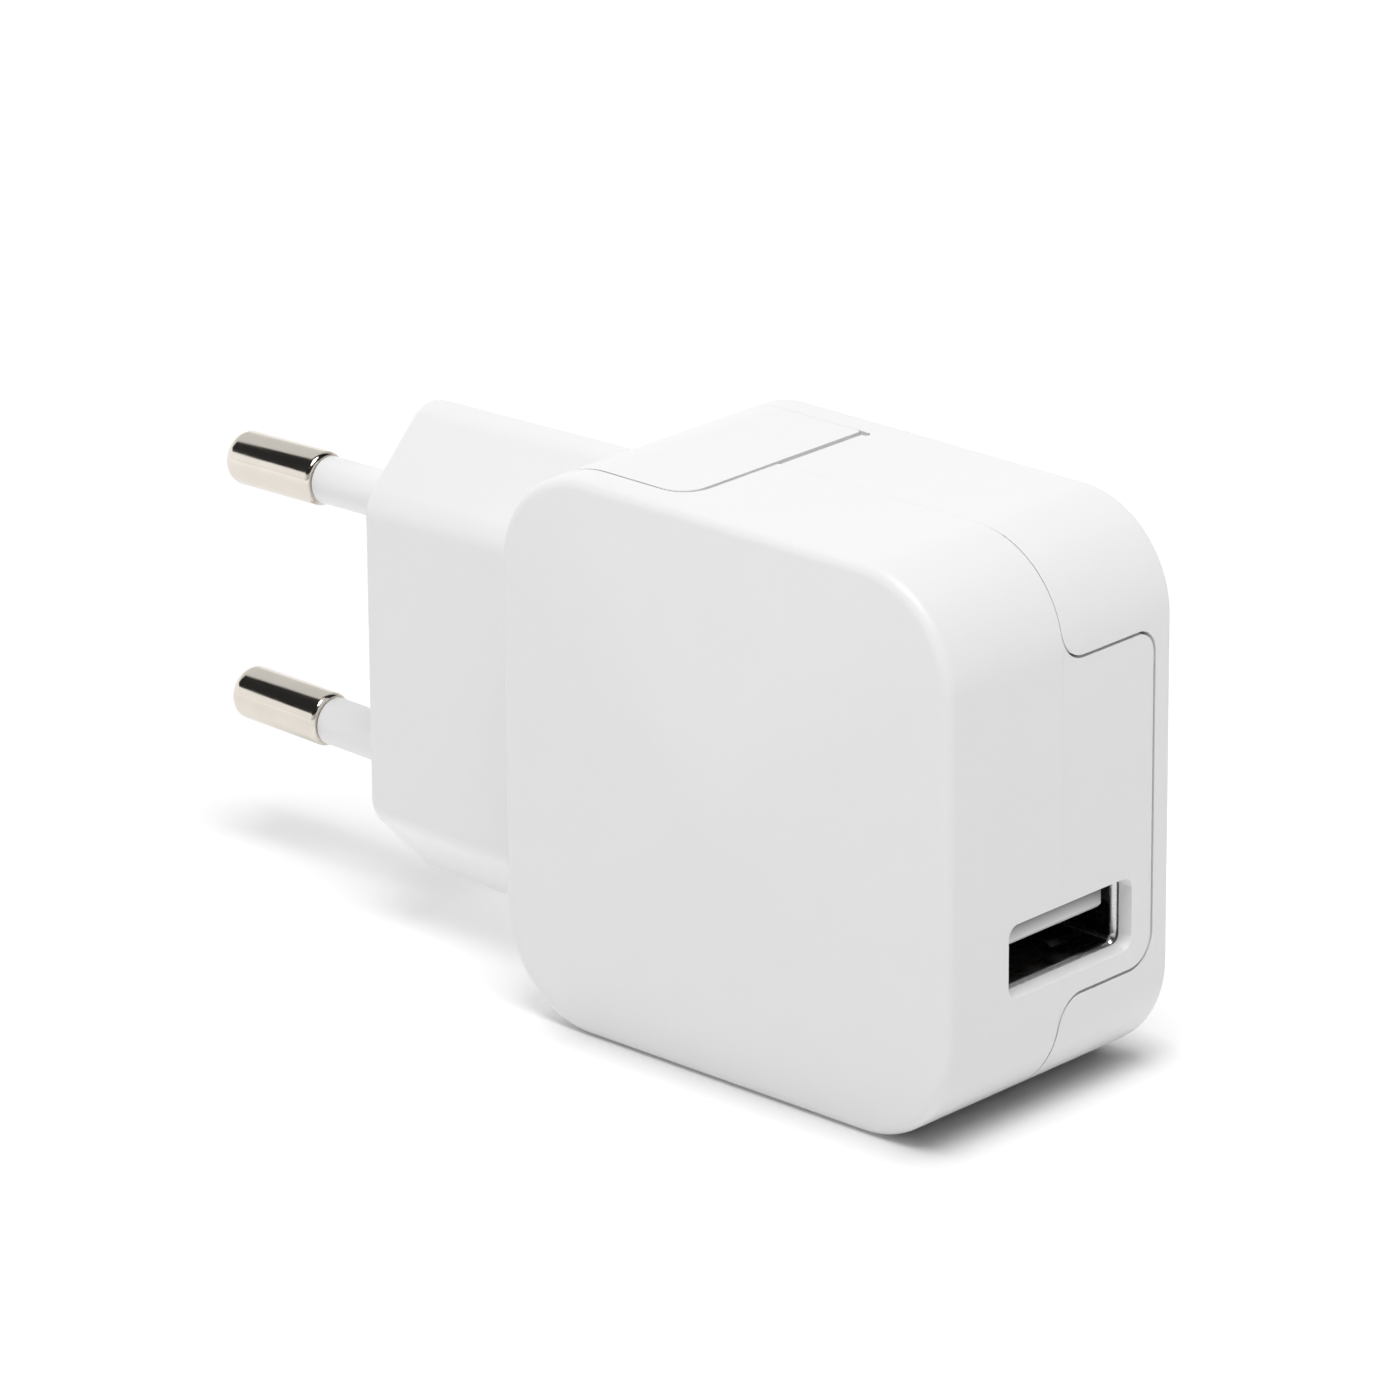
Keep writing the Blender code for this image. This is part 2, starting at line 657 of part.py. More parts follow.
def make_choke(parent):
    """Drum core with a wire winding on its waist."""
    base = BOARD_FRONT - GAP
    x, z = -6.0, 19.8
    flange, waist = 3.0, 1.2
    profile = [(base, 0), (base, flange), (base - 1.2, flange), (base - 1.2, waist),
               (base - 7.8, waist), (base - 7.8, flange), (base - 9.0, flange), (base - 9.0, 0)]
    turned("choke_core", profile, "Y", x, z, "ferrite", parent, 20)
    rings = []
    for radius, y in ((2.7, base - 1.5), (2.7, base - 7.5), (1.5, base - 7.5), (1.5, base - 1.5)):
        circle = arc(x, z, radius, 0, 342, 19)
        rings.append([(u, y, v) for u, v in circle])
    loft_ring("choke_winding", rings, "copper", parent)


def make_fuse(parent):
    """Round ceramic fuse with two metal caps, lying across the board."""
    profile = [(3.0, 0), (3.0, 1.3), (3.2, 1.6), (5.2, 1.6), (5.2, 1.35), (11.6, 1.35),
               (11.6, 1.6), (13.6, 1.6), (13.8, 1.3), (13.8, 0)]
    turned("input_fuse", profile, "Z", -5.2, 5.6, "light_grey_plastic", parent, 16)


def chip(name, low, high, legs, axis, parent):
    """A moulded chip on the board's front, with flat legs out of two sides."""
    y_front, y_back = low[1], high[1]
    outline = rectangle((low[0] + high[0]) / 2, (low[2] + high[2]) / 2,
                        high[0] - low[0], high[2] - low[2], 0.2, 2)
    body = prism(name, outline, "Y", y_front, y_back, "chip_black", parent)
    reach = 0.8
    mid_y = (y_front + y_back) / 2
    for index in range(legs):
        share = (index + 0.5) / legs
        for side in (-1, 1):
            if axis == "X":
                z = low[2] + share * (high[2] - low[2])
                edge = high[0] if side > 0 else low[0]
                a = (min(edge, edge + side * reach) - 0.1, mid_y - 0.1, z - 0.25)
                b = (max(edge, edge + side * reach) + 0.1, BOARD_FRONT - 0.25, z + 0.25)
            else:
                x = low[0] + share * (high[0] - low[0])
                edge = high[2] if side > 0 else low[2]
                a = (x - 0.25, mid_y - 0.1, min(edge, edge + side * reach) - 0.1)
                b = (x + 0.25, BOARD_FRONT - 0.25, max(edge, edge + side * reach) + 0.1)
            join(body, block("%s_leg_%d_%d" % (name, index, side + 1), a, b, "chip_black", parent))


# Name, low and high X, height off the board, low and high Z, legs a side, and the legs' axis
CHIPS = (
    ("bridge_rectifier", -11.6, -7.6, 2.3, 3.2, 6.4, 2, "X"),
    ("control_chip", -1.6, 3.0, 1.6, 3.6, 7.6, 4, "Z"),
    ("optocoupler", 6.6, 10.8, 3.2, 3.4, 6.6, 2, "X"),
    ("output_rectifier", 13.0, 16.0, 2.2, 4.4, 6.8, 1, "X"),
)


def make_chips(parent):
    """The four moulded chips, a little off the board on their legs."""
    top = BOARD_FRONT - 0.4
    for name, x_low, x_high, height, z_low, z_high, legs, axis in CHIPS:
        chip(name, (x_low, top - height, z_low), (x_high, top, z_high), legs, axis, parent)


def make_y_capacitor(parent):
    """Round ceramic disc standing on its edge on the board."""
    low, high = 14.2, 16.3
    radius = 3.1
    profile = [(low, 0), (low, radius * 0.7), (low + 0.6, radius), (high - 0.6, radius),
               (high, radius * 0.7), (high, 0)]
    turned("y_capacitor", profile, "Z", -6.0, BOARD_FRONT - GAP - radius, "ceramic_blue", parent, 20)


def make_barrier(parent):
    """Insulating film between the supply's two sides."""
    outline = [(4.05, -8.8), (4.35, -8.8), (4.35, 8.0), (4.05, 8.0)]
    prism("insulation_barrier", outline, "Z", 8.6, 24.2, "barrier_film", parent)


def make_inlet_wires(parent):
    """Insulated wires from the inlet's contacts down to the board."""
    section = [(0.5 * math.cos(i * math.pi / 4), 0.5 * math.sin(i * math.pi / 4)) for i in range(8)]
    start = BAY_END + NOSE_LENGTH + 1.8 + 0.3
    for label, y in inlet_places():
        path = [(start, y, INLET_Z), (start + 0.35, y, INLET_Z - 0.15), (start + 0.6, y, INLET_Z - 0.6),
                (start + 0.6, y, INLET_Z - 3.0), (start + 0.45, y, 27.5), (start - 0.3, y, 25.6),
                (start - 1.4, y, 24.6), (start - 3.0, y, 24.3)]
        swept("inlet_wire_" + label, path, section, "jacket_" + label, parent)


# ---------------------------------------------------------------- plug head

def block_outline(inset, end):
    """Corner block in X and Z: the body's own rounded corner, its floor and its end wall."""
    outer = CORNER_RADIUS - inset
    center_x = -SIDE + CORNER_RADIUS
    center_z = BODY_HEIGHT - CORNER_RADIUS
    low = BAY_FLOOR + GAP
    corner = arc(center_x, center_z, outer, 180, 90, 8)
    return [(-SIDE + inset, low)] + corner + [(end, BODY_HEIGHT - inset), (end, low)]


def make_head_shell(parent):
    """Hexagonal plug body with the skin of the corner block, hollow inside."""
    front = BAY_FRONT + GAP
    rear = BAY_REAR - GAP
    end = BAY_END - GAP
    edge = 0.5
    rings = []
    for inset, back in ((edge, 0.0), (edge * 0.3, edge * 0.3), (0.0, edge)):
        x = HEAD_END + back
        rings.append([place("X", y, z, x) for y, z in hexagon(x, inset)])
    far = -SIDE + CORNER_RADIUS
    rings.append([place("X", y, z, far) for y, z in hexagon(far)])
    shell = loft("plug_head_shell", rings, "white_plastic", parent)
    lower = block("head_lower_trim", (-SIDE - GAP, -HALF_DEPTH, -3), (0, HALF_DEPTH, BAY_FLOOR + GAP),
                  "white_plastic", parent)
    cut(shell, lower)
    skin = prism("corner_skin", block_outline(0.0, end), "Y", front, rear, "white_plastic", parent)
    tab = rounded([(-SIDE - 3, front, 0), (end, front, BAY_CORNER - GAP), (end, rear, 0.3),
                   (-SIDE - 3, rear, 0)])
    combine(skin, prism("tab_outline", tab, "Z", 0, BODY_HEIGHT + 3, "white_plastic", parent),
            "INTERSECT")
    join(shell, skin)
    inner = prism("corner_hollow", hollow_outline(), "Y", front + CHEEK, rear - CHEEK,
                  "white_plastic", parent)
    cut(shell, inner)
    hollow = []
    for x in (HEAD_END + HEAD_WALL, -SIDE + WALL + 1.0):
        hollow.append([place("X", y, z, x) for y, z in hexagon(x, HEAD_WALL)])
    cut(shell, loft("plug_hollow", hollow, "white_plastic", parent))
    for label, sign in pin_places():
        hole = [(HEAD_END - 2, SLEEVE_RADIUS + GAP), (HEAD_END + 3, SLEEVE_RADIUS + GAP)]
        lean(cut_hole(shell, "sleeve_hole_" + label, hole, parent), sign)
    return shell


def hollow_outline():
    """Space inside the corner block, open below and towards the inlet."""
    outline = block_outline(HEAD_WALL, 0.0)
    floor = BAY_FLOOR - 3
    return [(outline[0][0], floor)] + outline[1:-1] + [(outline[-1][0], floor)]


def cut_hole(target, name, profile, parent):
    """Cut a round hole along X and return its tool."""
    tool = turned(name, profile, "X", 0, 0, "white_plastic", parent, 20)
    cut(target, tool)
    return tool


def pin_places():
    """The two pins, and which way each lies from the plug's middle."""
    return (("upper", 1), ("lower", -1))


def lean(item, sign):
    """Move a pin piece to its place on the end face and lean it towards the middle."""
    foot = Vector((HEAD_END, 0, HEAD_Z + sign * PIN_SPACING / 2)) * MM
    base = Vector((HEAD_END, 0, 0)) * MM
    turn = Matrix.Rotation(-sign * PIN_LEAN, 4, "Y")
    item.data.transform(Matrix.Translation(foot) @ turn @ Matrix.Translation(-base))


def make_prongs(parent):
    """Two pins, each bare at its tip and necked down inside an insulating sleeve."""
    ring = HEAD_END - SLEEVE_LENGTH
    tip = ring - PIN_BARE
    r = PIN_RADIUS
    nose = 1.7
    profile = [(tip, 0)]
    for degrees in (20, 40, 60, 80):
        angle = math.radians(degrees)
        profile.append((tip + nose * (1 - math.cos(angle)), r - nose + nose * math.sin(angle)))
    profile += [(tip + nose, r), (ring - 0.25, r), (ring, r - 0.25), (ring, NECK_RADIUS)]
    flange = HEAD_END + HEAD_WALL + GAP
    profile += [(flange + 0.6, NECK_RADIUS), (flange + 0.6, 2.4), (flange + 2.2, 2.4),
                (flange + 2.2, 1.4), (HEAD_END + PIN_TAIL, 1.4), (HEAD_END + PIN_TAIL, 0)]
    for label, sign in pin_places():
        lean(turned("prong_pin_" + label, profile, "X", 0, 0, "nickel", parent, 24), sign)


def make_sleeves(parent):
    """Insulating tubes round the necks of the pins."""
    low = HEAD_END - SLEEVE_LENGTH + 0.2
    high = HEAD_END + HEAD_WALL + GAP
    bore = NECK_RADIUS + 0.25
    for label, sign in pin_places():
        rings = []
        for radius, x in ((SLEEVE_RADIUS, low), (SLEEVE_RADIUS, high), (bore, high), (bore, low)):
            circle = arc(0, 0, radius, 0, 345, 23)
            rings.append([(x, u, v) for u, v in circle])
        lean(loft_ring("prong_sleeve_" + label, rings, "sleeve_plastic", parent), sign)


def make_base_plate(parent):
    """Plate that closes the plug body below the corner block."""
    outer = -SIDE - GAP
    inset = HEAD_WALL + GAP
    top = BAY_FLOOR - 0.4
    flank = HEX_HALF_DEPTH - inset
    lower = [(y, z) for y, z in hexagon(outer, inset) if z < top]
    section = [(-flank, top)] + lower + [(flank, top)]
    prism("plug_base_plate", section, "X", outer - 1.6, outer, "white_plastic", parent)


def make_socket_block(parent):
    """Inner moulding of the corner block: floor, figure-eight nose and the slot for the stud."""
    front = BAY_FRONT + GAP + CHEEK + GAP
    rear = BAY_REAR - GAP - CHEEK - GAP
    end = BAY_END - GAP
    outline = block_outline(HEAD_WALL + GAP, end)
    body = prism("socket_block", outline, "Y", front, rear, "light_grey_plastic", parent)
    nose = prism("nose", figure_eight(NOSE_RADIUS), "X", end - 1, end + NOSE_LENGTH,
                 "light_grey_plastic", parent)
    join(body, nose)
    low = BAY_FLOOR + GAP
    back = STUD_X - 3.6
    slots = (("neck", 1.8, low - 1, low + 1.4), ("head", 3.6, low + 1.3, low + 3.4))
    for label, half, bottom, top in slots:
        cut(body, block("stud_slot_" + label, (back, BAY_MID - half, bottom),
                        (end + 9, BAY_MID + half, top), "light_grey_plastic", parent))
    pocket = block("strap_pocket", (-SIDE, BAY_MID - 6.3, low + 2.5), (back - 0.7, BAY_MID + 6.3, 35.2),
                   "light_grey_plastic", parent)
    cut(body, pocket)
    for label, y in inlet_places():
        bore = [(-SIDE, 2.2), (end + NOSE_LENGTH + 1, 2.2)]
        cut(body, turned("contact_bore_" + label, bore, "X", y, INLET_Z,
                         "light_grey_plastic", parent, 16))
    return body


def make_socket_contacts(parent):
    """Contact tubes for the inlet pins, each one piece with the strap to its own pin."""
    high = BAY_END - GAP + NOSE_LENGTH - 0.3
    low = -13.6
    bottom = low + 1.0
    outer, inner = 1.85, INLET_PIN_RADIUS + GAP
    strap = [(-0.9, -0.3), (0.9, -0.3), (0.9, 0.3), (-0.9, 0.3)]
    weld_x = HEAD_END + PIN_TAIL + 0.7
    ends = {
        "upper": [(-18.4, 2.7, 31.6), (-20.0, 2.4, 30.6), (-22.2, 1.2, 30.6), (weld_x, 0.3, 29.9),
                  (weld_x, 0.0, 28.4)],
        "lower": [(-18.4, -2.9, 31.6), (-20.0, -2.8, 30.4), (-22.2, -2.8, 28.0),
                  (weld_x, -2.6, 25.0), (weld_x, -0.6, 14.0), (weld_x, 0.0, 9.6)],
    }
    inlets = dict(inlet_places())
    for label, y in (("upper", inlets["rear"]), ("lower", inlets["front"])):
        rings = [[(low, y, INLET_Z)]]
        for x, radius in ((low, outer), (high, outer), (high, inner), (bottom, inner)):
            rings.append([(x, v, z) for v, z in arc(y, INLET_Z, radius, 0, 337.5, 15)])
        rings.append([(bottom, y, INLET_Z)])
        tube = loft("socket_contact_" + label, rings, "brass", parent)
        path = [(low + 0.5, y, INLET_Z + 1.3), (-16.4, y, INLET_Z + 0.9)] + ends[label]
        join(tube, swept("strap_" + label, path, strap, "brass", parent))


# ---------------------------------------------------------------- whole charger

def make_body(parent):
    """Casing, inlet, USB socket and supply."""
    make_front_shell(parent)
    make_rear_shell(parent)
    make_inlet_housing(parent)
    make_lock_stud(parent)
    make_inlet_pins(parent)
    make_usb_shell(parent)
    make_usb_insulator(parent)
    make_usb_contacts(parent)
    make_usb_board(parent)
    make_main_board(parent)
    make_capacitors(parent)
    make_transformer(parent)
    make_choke(parent)
    make_fuse(parent)
    make_chips(parent)
    make_y_capacitor(parent)
    make_barrier(parent)
    make_inlet_wires(parent)


def make_plug_head(parent):
    """Everything that slides off with the plug."""
    make_head_shell(parent)
    make_base_plate(parent)
    make_socket_block(parent)
    make_socket_contacts(parent)
    make_prongs(parent)
    make_sleeves(parent)


def empty(name, parent=None):
    """A named group that pieces hang on."""
    made = bpy.data.objects.new(name, None)
    bpy.context.scene.collection.objects.link(made)
    made.parent = parent
    return made


def main():
    """Build the charger from an empty scene."""
    clear_scene()
    charger = empty("charger_body")
    charger.location = (BODY_X * MM, 0, 0)
    head = empty("plug_head", charger)
    make_body(charger)
    make_plug_head(head)


main()
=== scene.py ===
"""Looks of the USB wall charger: fine shells, plug head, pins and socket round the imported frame."""
import math

import bmesh
import bpy
from mathutils import Matrix, Vector


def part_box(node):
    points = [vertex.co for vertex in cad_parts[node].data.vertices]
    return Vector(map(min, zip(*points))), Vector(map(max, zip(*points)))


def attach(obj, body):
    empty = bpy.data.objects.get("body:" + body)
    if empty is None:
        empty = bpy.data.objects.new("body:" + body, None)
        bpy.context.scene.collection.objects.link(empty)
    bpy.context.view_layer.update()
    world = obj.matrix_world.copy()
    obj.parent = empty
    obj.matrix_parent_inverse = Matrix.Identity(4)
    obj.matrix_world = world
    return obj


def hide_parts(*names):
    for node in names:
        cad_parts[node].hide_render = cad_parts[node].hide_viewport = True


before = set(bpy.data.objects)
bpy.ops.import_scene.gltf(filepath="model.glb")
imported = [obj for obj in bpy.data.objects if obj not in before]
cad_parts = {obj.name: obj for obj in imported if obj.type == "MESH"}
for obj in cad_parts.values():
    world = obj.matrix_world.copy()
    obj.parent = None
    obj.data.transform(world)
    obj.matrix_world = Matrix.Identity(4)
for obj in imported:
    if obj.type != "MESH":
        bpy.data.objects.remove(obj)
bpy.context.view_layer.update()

# Lengths below are millimetres in the charger body's own frame: its origin is under the body's
# middle, on the plane it stands on. MM turns them into metres.
MM = 0.001
SHELL_LOW, SHELL_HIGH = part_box("front_shell")
REAR_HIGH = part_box("rear_shell")[1]
BODY_X = (SHELL_LOW.x + SHELL_HIGH.x) / 2
BODY_WIDTH = (SHELL_HIGH.x - SHELL_LOW.x) / MM
BODY_HEIGHT = (SHELL_HIGH.z - SHELL_LOW.z) / MM
SIDE = BODY_WIDTH / 2
MIDDLE = BODY_HEIGHT / 2
FACE_CROWN = 1.3
HALF_DEPTH = REAR_HIGH.y / MM - FACE_CROWN
CORNER_RADIUS = 7.8
RIM_RADIUS = 0.8
WALL = 1.6

# Seams
SEAM = 0.006               # open width of the straight parting line between the shells
HIGH_SEAM = 0.08           # the same on the +X wall, above the tongue
LOW_SEAM = 0.19            # and below it
TONGUE_SEAM = 0.23         # and round it
SHELL_EDGE = 0.05          # rounding of the shells' sharp edges
TIGHT_SHARE = 0.24         # of that rounding where two shells close tight
TONGUE_REACH = 9.47
TONGUE_LOW = 8.25
TONGUE_HIGH = 32.44
TONGUE_LOW_RADIUS = 2.3
TONGUE_HIGH_RADIUS = 1.65
SEAM_SWEEP = 2.15

# USB window and socket
USB_Y = 1.05
USB_Z = 12.5
WINDOW_WIDTH = 12.7
WINDOW_HEIGHT = 5.24
USB_BACK = 5.0
USB_MOUTH = SIDE - 1.4
USB_INNER_WIDTH = 12.5
USB_INNER_HEIGHT = 5.12
USB_SHEET = 0.3
USB_FLARE = 0.3
FLARE_LENGTH = 0.6
FLARE_RUN = 0.55           # the part of it that bends outwards
TONGUE_ROOT = USB_BACK + 4.2   # the contact tongue turns from black, painted shade deep in the socket, to white here
SHADE_START = 12.9         # heights between which painted shade darkens the tongue's front
SHADE_FULL = 13.8
TONGUE_SHADE = 0.32

# Bay and the plug head's corner block
BAY_FLOOR = 26.2
BAY_FRONT = -9.12
BAY_REAR = 8.9
BAY_END = -5.05
BAY_STEP = 0.17            # the rear shell's end wall stands back from the front shell's
BAY_CORNER = 2.2
NOTCH_RADIUS = 0.3
TAB_FRONT = -8.97
TAB_REAR = 8.88
TAB_END = -5.42
TAB_CORNER = 2.0
LEDGE_END = -5.1           # a ledge just below the tab's edge closes the groove round it
LEDGE_DEPTH = 0.5

# Plug
HEAD_END = (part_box("plug_head_shell")[0].x - BODY_X) / MM
HEAD_Z = 20.27
HEX_HALF_DEPTH = 6.75
HEX_SHOULDER = 11.73
HEX_APEX = 18.61
HEX_DRAFT = 0.027
HEAD_WALL = 1.6
PIN_SPACING = 18.87
PIN_LEAN = math.radians(1.3)
PIN_RADIUS = 2.0
PIN_BARE = 9.0
SLEEVE_LENGTH = 10.15
SLEEVE_RADIUS = 1.75
PIN_TAIL = 14.2
NECK_RADIUS = 1.1


# ---------------------------------------------------------------- outlines

def arc(center_u, center_v, radius, start, end, steps):
    """Points on an arc, both ends included, angles in degrees."""
    points = []
    for step in range(steps + 1):
        angle = math.radians(start + (end - start) * step / steps)
        points.append((center_u + radius * math.cos(angle), center_v + radius * math.sin(angle)))
    return points


def rounded(corners, steps=8):
    """A closed outline from (u, v, radius) corners, each radius drawn as an arc."""
    outline = []
    count = len(corners)
    for index, (u, v, radius) in enumerate(corners):
        here = Vector((u, v))
        if radius <= 0:
            outline.append((u, v))
            continue
        before = (Vector(corners[index - 1][:2]) - here).normalized()
        after = (Vector(corners[(index + 1) % count][:2]) - here).normalized()
        half = before.angle(after) / 2
        center = here + (before + after).normalized() * (radius / math.sin(half))
        first = here + before * (radius / math.tan(half)) - center
        turn = math.pi - 2 * half
        side = 1 if before.cross(after) < 0 else -1
        for step in range(steps + 1):
            spoke = Matrix.Rotation(side * turn * step / steps, 2) @ first
            outline.append(tuple(center + spoke))
    return outline


def rectangle(center_u, center_v, width, height, radius=0.0, steps=8):
    """A rectangle round its own centre, with rounded corners."""
    u, v = width / 2, height / 2
    corners = [(u, v), (-u, v), (-u, -v), (u, -v)]
    return rounded([(center_u + a, center_v + b, radius) for a, b in corners], steps)


def body_outline(inset=0.0):
    """The body's rounded square in X and Z, drawn in from its surface by inset."""
    radius = CORNER_RADIUS - inset
    return rectangle(0, MIDDLE, BODY_WIDTH - 2 * inset, BODY_HEIGHT - 2 * inset, radius, 24)


def hexagon(x, inset=0.0):
    """The plug's hexagonal section in Y and Z, at one place along its length."""
    growth = HEX_DRAFT * (x - HEAD_END)
    apex = HEX_APEX + growth - inset * math.sqrt(2)
    shoulder = HEX_SHOULDER + growth - inset * math.tan(math.radians(22.5))
    flank = HEX_HALF_DEPTH - inset
    soft = max(3.0 - inset, 0.3)
    tip = max(2.4 - inset, 0.3)
    corners = [(0, apex, tip), (-flank, shoulder, soft), (-flank, -shoulder, soft),
               (0, -apex, tip), (flank, -shoulder, soft), (flank, shoulder, soft)]
    return [(y, HEAD_Z + z) for y, z in rounded(corners, 10)]


def sweep_arc(center_z, start, end, plain, shift, steps=14):
    """The seam's swing from the straight line to the tongue, its offset growing on the way."""
    points = []
    for step in range(steps + 1):
        share = step / steps
        angle = math.radians(start + (end - start) * share)
        radius = SEAM_SWEEP - (plain + (shift - plain) * share)
        points.append((SEAM_SWEEP + radius * math.cos(angle), center_z + radius * math.sin(angle)))
    return points


def seam_path(side):
    """One edge of the parting line on the +X wall, bottom to top; side is -1 for the front shell."""
    above = side * HIGH_SEAM / 2
    below = side * LOW_SEAM / 2
    shift = side * TONGUE_SEAM / 2
    low = sweep_arc(TONGUE_LOW - SEAM_SWEEP, 180, 90, below, shift)
    low_corner = arc(TONGUE_REACH - TONGUE_LOW_RADIUS, TONGUE_LOW + TONGUE_LOW_RADIUS,
                     TONGUE_LOW_RADIUS + shift, -90, 0, 10)
    high_corner = arc(TONGUE_REACH - TONGUE_HIGH_RADIUS, TONGUE_HIGH - TONGUE_HIGH_RADIUS,
                      TONGUE_HIGH_RADIUS + shift, 0, 90, 10)
    high = sweep_arc(TONGUE_HIGH + SEAM_SWEEP, 180, 270, above, shift)[::-1]
    return [(below, -5)] + low + low_corner + high_corner + high + [(above, BODY_HEIGHT + 5)]


# ---------------------------------------------------------------- solids

def place(axis, u, v, along):
    """A point from two coordinates across an axis and one along it."""
    if axis == "X":
        return (along, u, v)
    if axis == "Y":
        return (u, along, v)
    return (u, v, along)


def solid(name, points, faces, smooth=35):
    """An object from points in the body's millimetre frame, with its faces turned outwards."""
    mesh = bpy.data.meshes.new(name)
    shift = Vector((BODY_X, 0, 0))
    mesh.from_pydata([Vector(point) * MM + shift for point in points], [], faces)
    work = bmesh.new()
    work.from_mesh(mesh)
    bmesh.ops.recalc_face_normals(work, faces=work.faces)
    work.to_mesh(mesh)
    work.free()
    mesh.shade_smooth()
    mesh.set_sharp_from_angle(angle=math.radians(smooth))
    made = bpy.data.objects.new(name, mesh)
    bpy.context.scene.collection.objects.link(made)
    return made


def loft(name, rings, closed=False, smooth=35):
    """Join rings of equal length; a ring of one point is a pole, closed joins the last to the first."""
    points = []
    starts = []
    for ring in rings:
        starts.append(len(points))
        points.extend(ring)
    faces = []
    total = len(rings)
    for index in range(total if closed else total - 1):
        following = (index + 1) % total
        a, b = starts[index], starts[following]
        count_a, count_b = len(rings[index]), len(rings[following])
        count = max(count_a, count_b)
        for step in range(count):
            after = (step + 1) % count
            if count_a == 1:
                faces.append((a, b + after, b + step))
            elif count_b == 1:
                faces.append((a + step, a + after, b))
            else:
                faces.append((a + step, a + after, b + after, b + step))
    if not closed:
        for index in (0, total - 1):
            count = len(rings[index])
            if count > 2:
                faces.append(tuple(starts[index] + step for step in range(count)))
    return solid(name, points, faces, smooth)


def prism(name, outline, axis, low, high):
    """An outline drawn out along an axis."""
    return loft(name, [[place(axis, u, v, along) for u, v in outline] for along in (low, high)])


def block(name, low, high, radius=0.0):
    """A box between two corners, its upright edges rounded by radius."""
    outline = rectangle((low[0] + high[0]) / 2, (low[1] + high[1]) / 2,
                        high[0] - low[0], high[1] - low[1], radius)
    return prism(name, outline, "Z", low[2], high[2])


def turned(name, profile, axis, center_u, center_v, steps=48):
    """Turn (along, radius) points round an axis; a radius of 0 at an end makes a pole."""
    rings = []
    for along, radius in profile:
        if radius == 0:
            rings.append([place(axis, center_u, center_v, along)])
            continue
        circle = arc(center_u, center_v, radius, 0, 360 - 360 / steps, steps - 1)
        rings.append([place(axis, u, v, along) for u, v in circle])
    return loft(name, rings)


def apply_boolean(target, tool, operation="DIFFERENCE"):
    """Cut, join or intersect a piece at once, and remove the tool."""
    step = target.modifiers.new("boolean", "BOOLEAN")
    step.operation = operation
    step.solver = "EXACT"
    step.object = tool
    settle(target)
    bpy.data.objects.remove(tool, do_unlink=True)


def settle(item):
    """Turn a piece's modifiers into its mesh."""
    bpy.context.view_layer.update()
    graph = bpy.context.evaluated_depsgraph_get()
    mesh = bpy.data.meshes.new_from_object(item.evaluated_get(graph))
    old = item.data
    item.modifiers.clear()
    item.data = mesh
    mesh.name = item.name
    bpy.data.meshes.remove(old)


def closes_tight(point):
    """Whether an edge lies on the parting plane, or along the tab's rear side."""
    on_plane = abs(point.y) < 0.03 * MM
    behind_tab = point.y > (BAY_REAR - 0.1) * MM and point.z > (BODY_HEIGHT - 0.1) * MM
    return on_plane or behind_tab


def soften(item, width, segments=3, angle=32):
    """Round every sharp edge by a small radius, keeping flat faces flat."""
    work = bmesh.new()
    work.from_mesh(item.data)
    bmesh.ops.remove_doubles(work, verts=work.verts, dist=0.002 * MM)
    bmesh.ops.dissolve_degenerate(work, edges=work.edges, dist=0.002 * MM)
    weight = work.edges.layers.float.new("bevel_weight_edge")
    for edge in work.edges:
        if edge.is_manifold and edge.calc_face_angle() > math.radians(angle):
            middle = (edge.verts[0].co + edge.verts[1].co) / 2
            edge[weight] = TIGHT_SHARE if closes_tight(middle) else 1.0
    work.to_mesh(item.data)
    work.free()
    bevel = item.modifiers.new("edge", "BEVEL")
    bevel.width = width * MM
    bevel.segments = segments
    bevel.limit_method = "WEIGHT"
    bevel.miter_outer = "MITER_ARC"
    bevel.use_clamp_overlap = True
    settle(item)
    item.data.shade_smooth()
    item.data.set_sharp_from_angle(angle=math.radians(50))
    weigh(item)


def weigh(item):
    """Weight the normals by face area, so that flat faces stay flat beside rounded ones."""
    weighted = item.modifiers.new("normals", "WEIGHTED_NORMAL")
    weighted.keep_sharp = True
    weighted.weight = 80
    settle(item)


# ---------------------------------------------------------------- material nodes

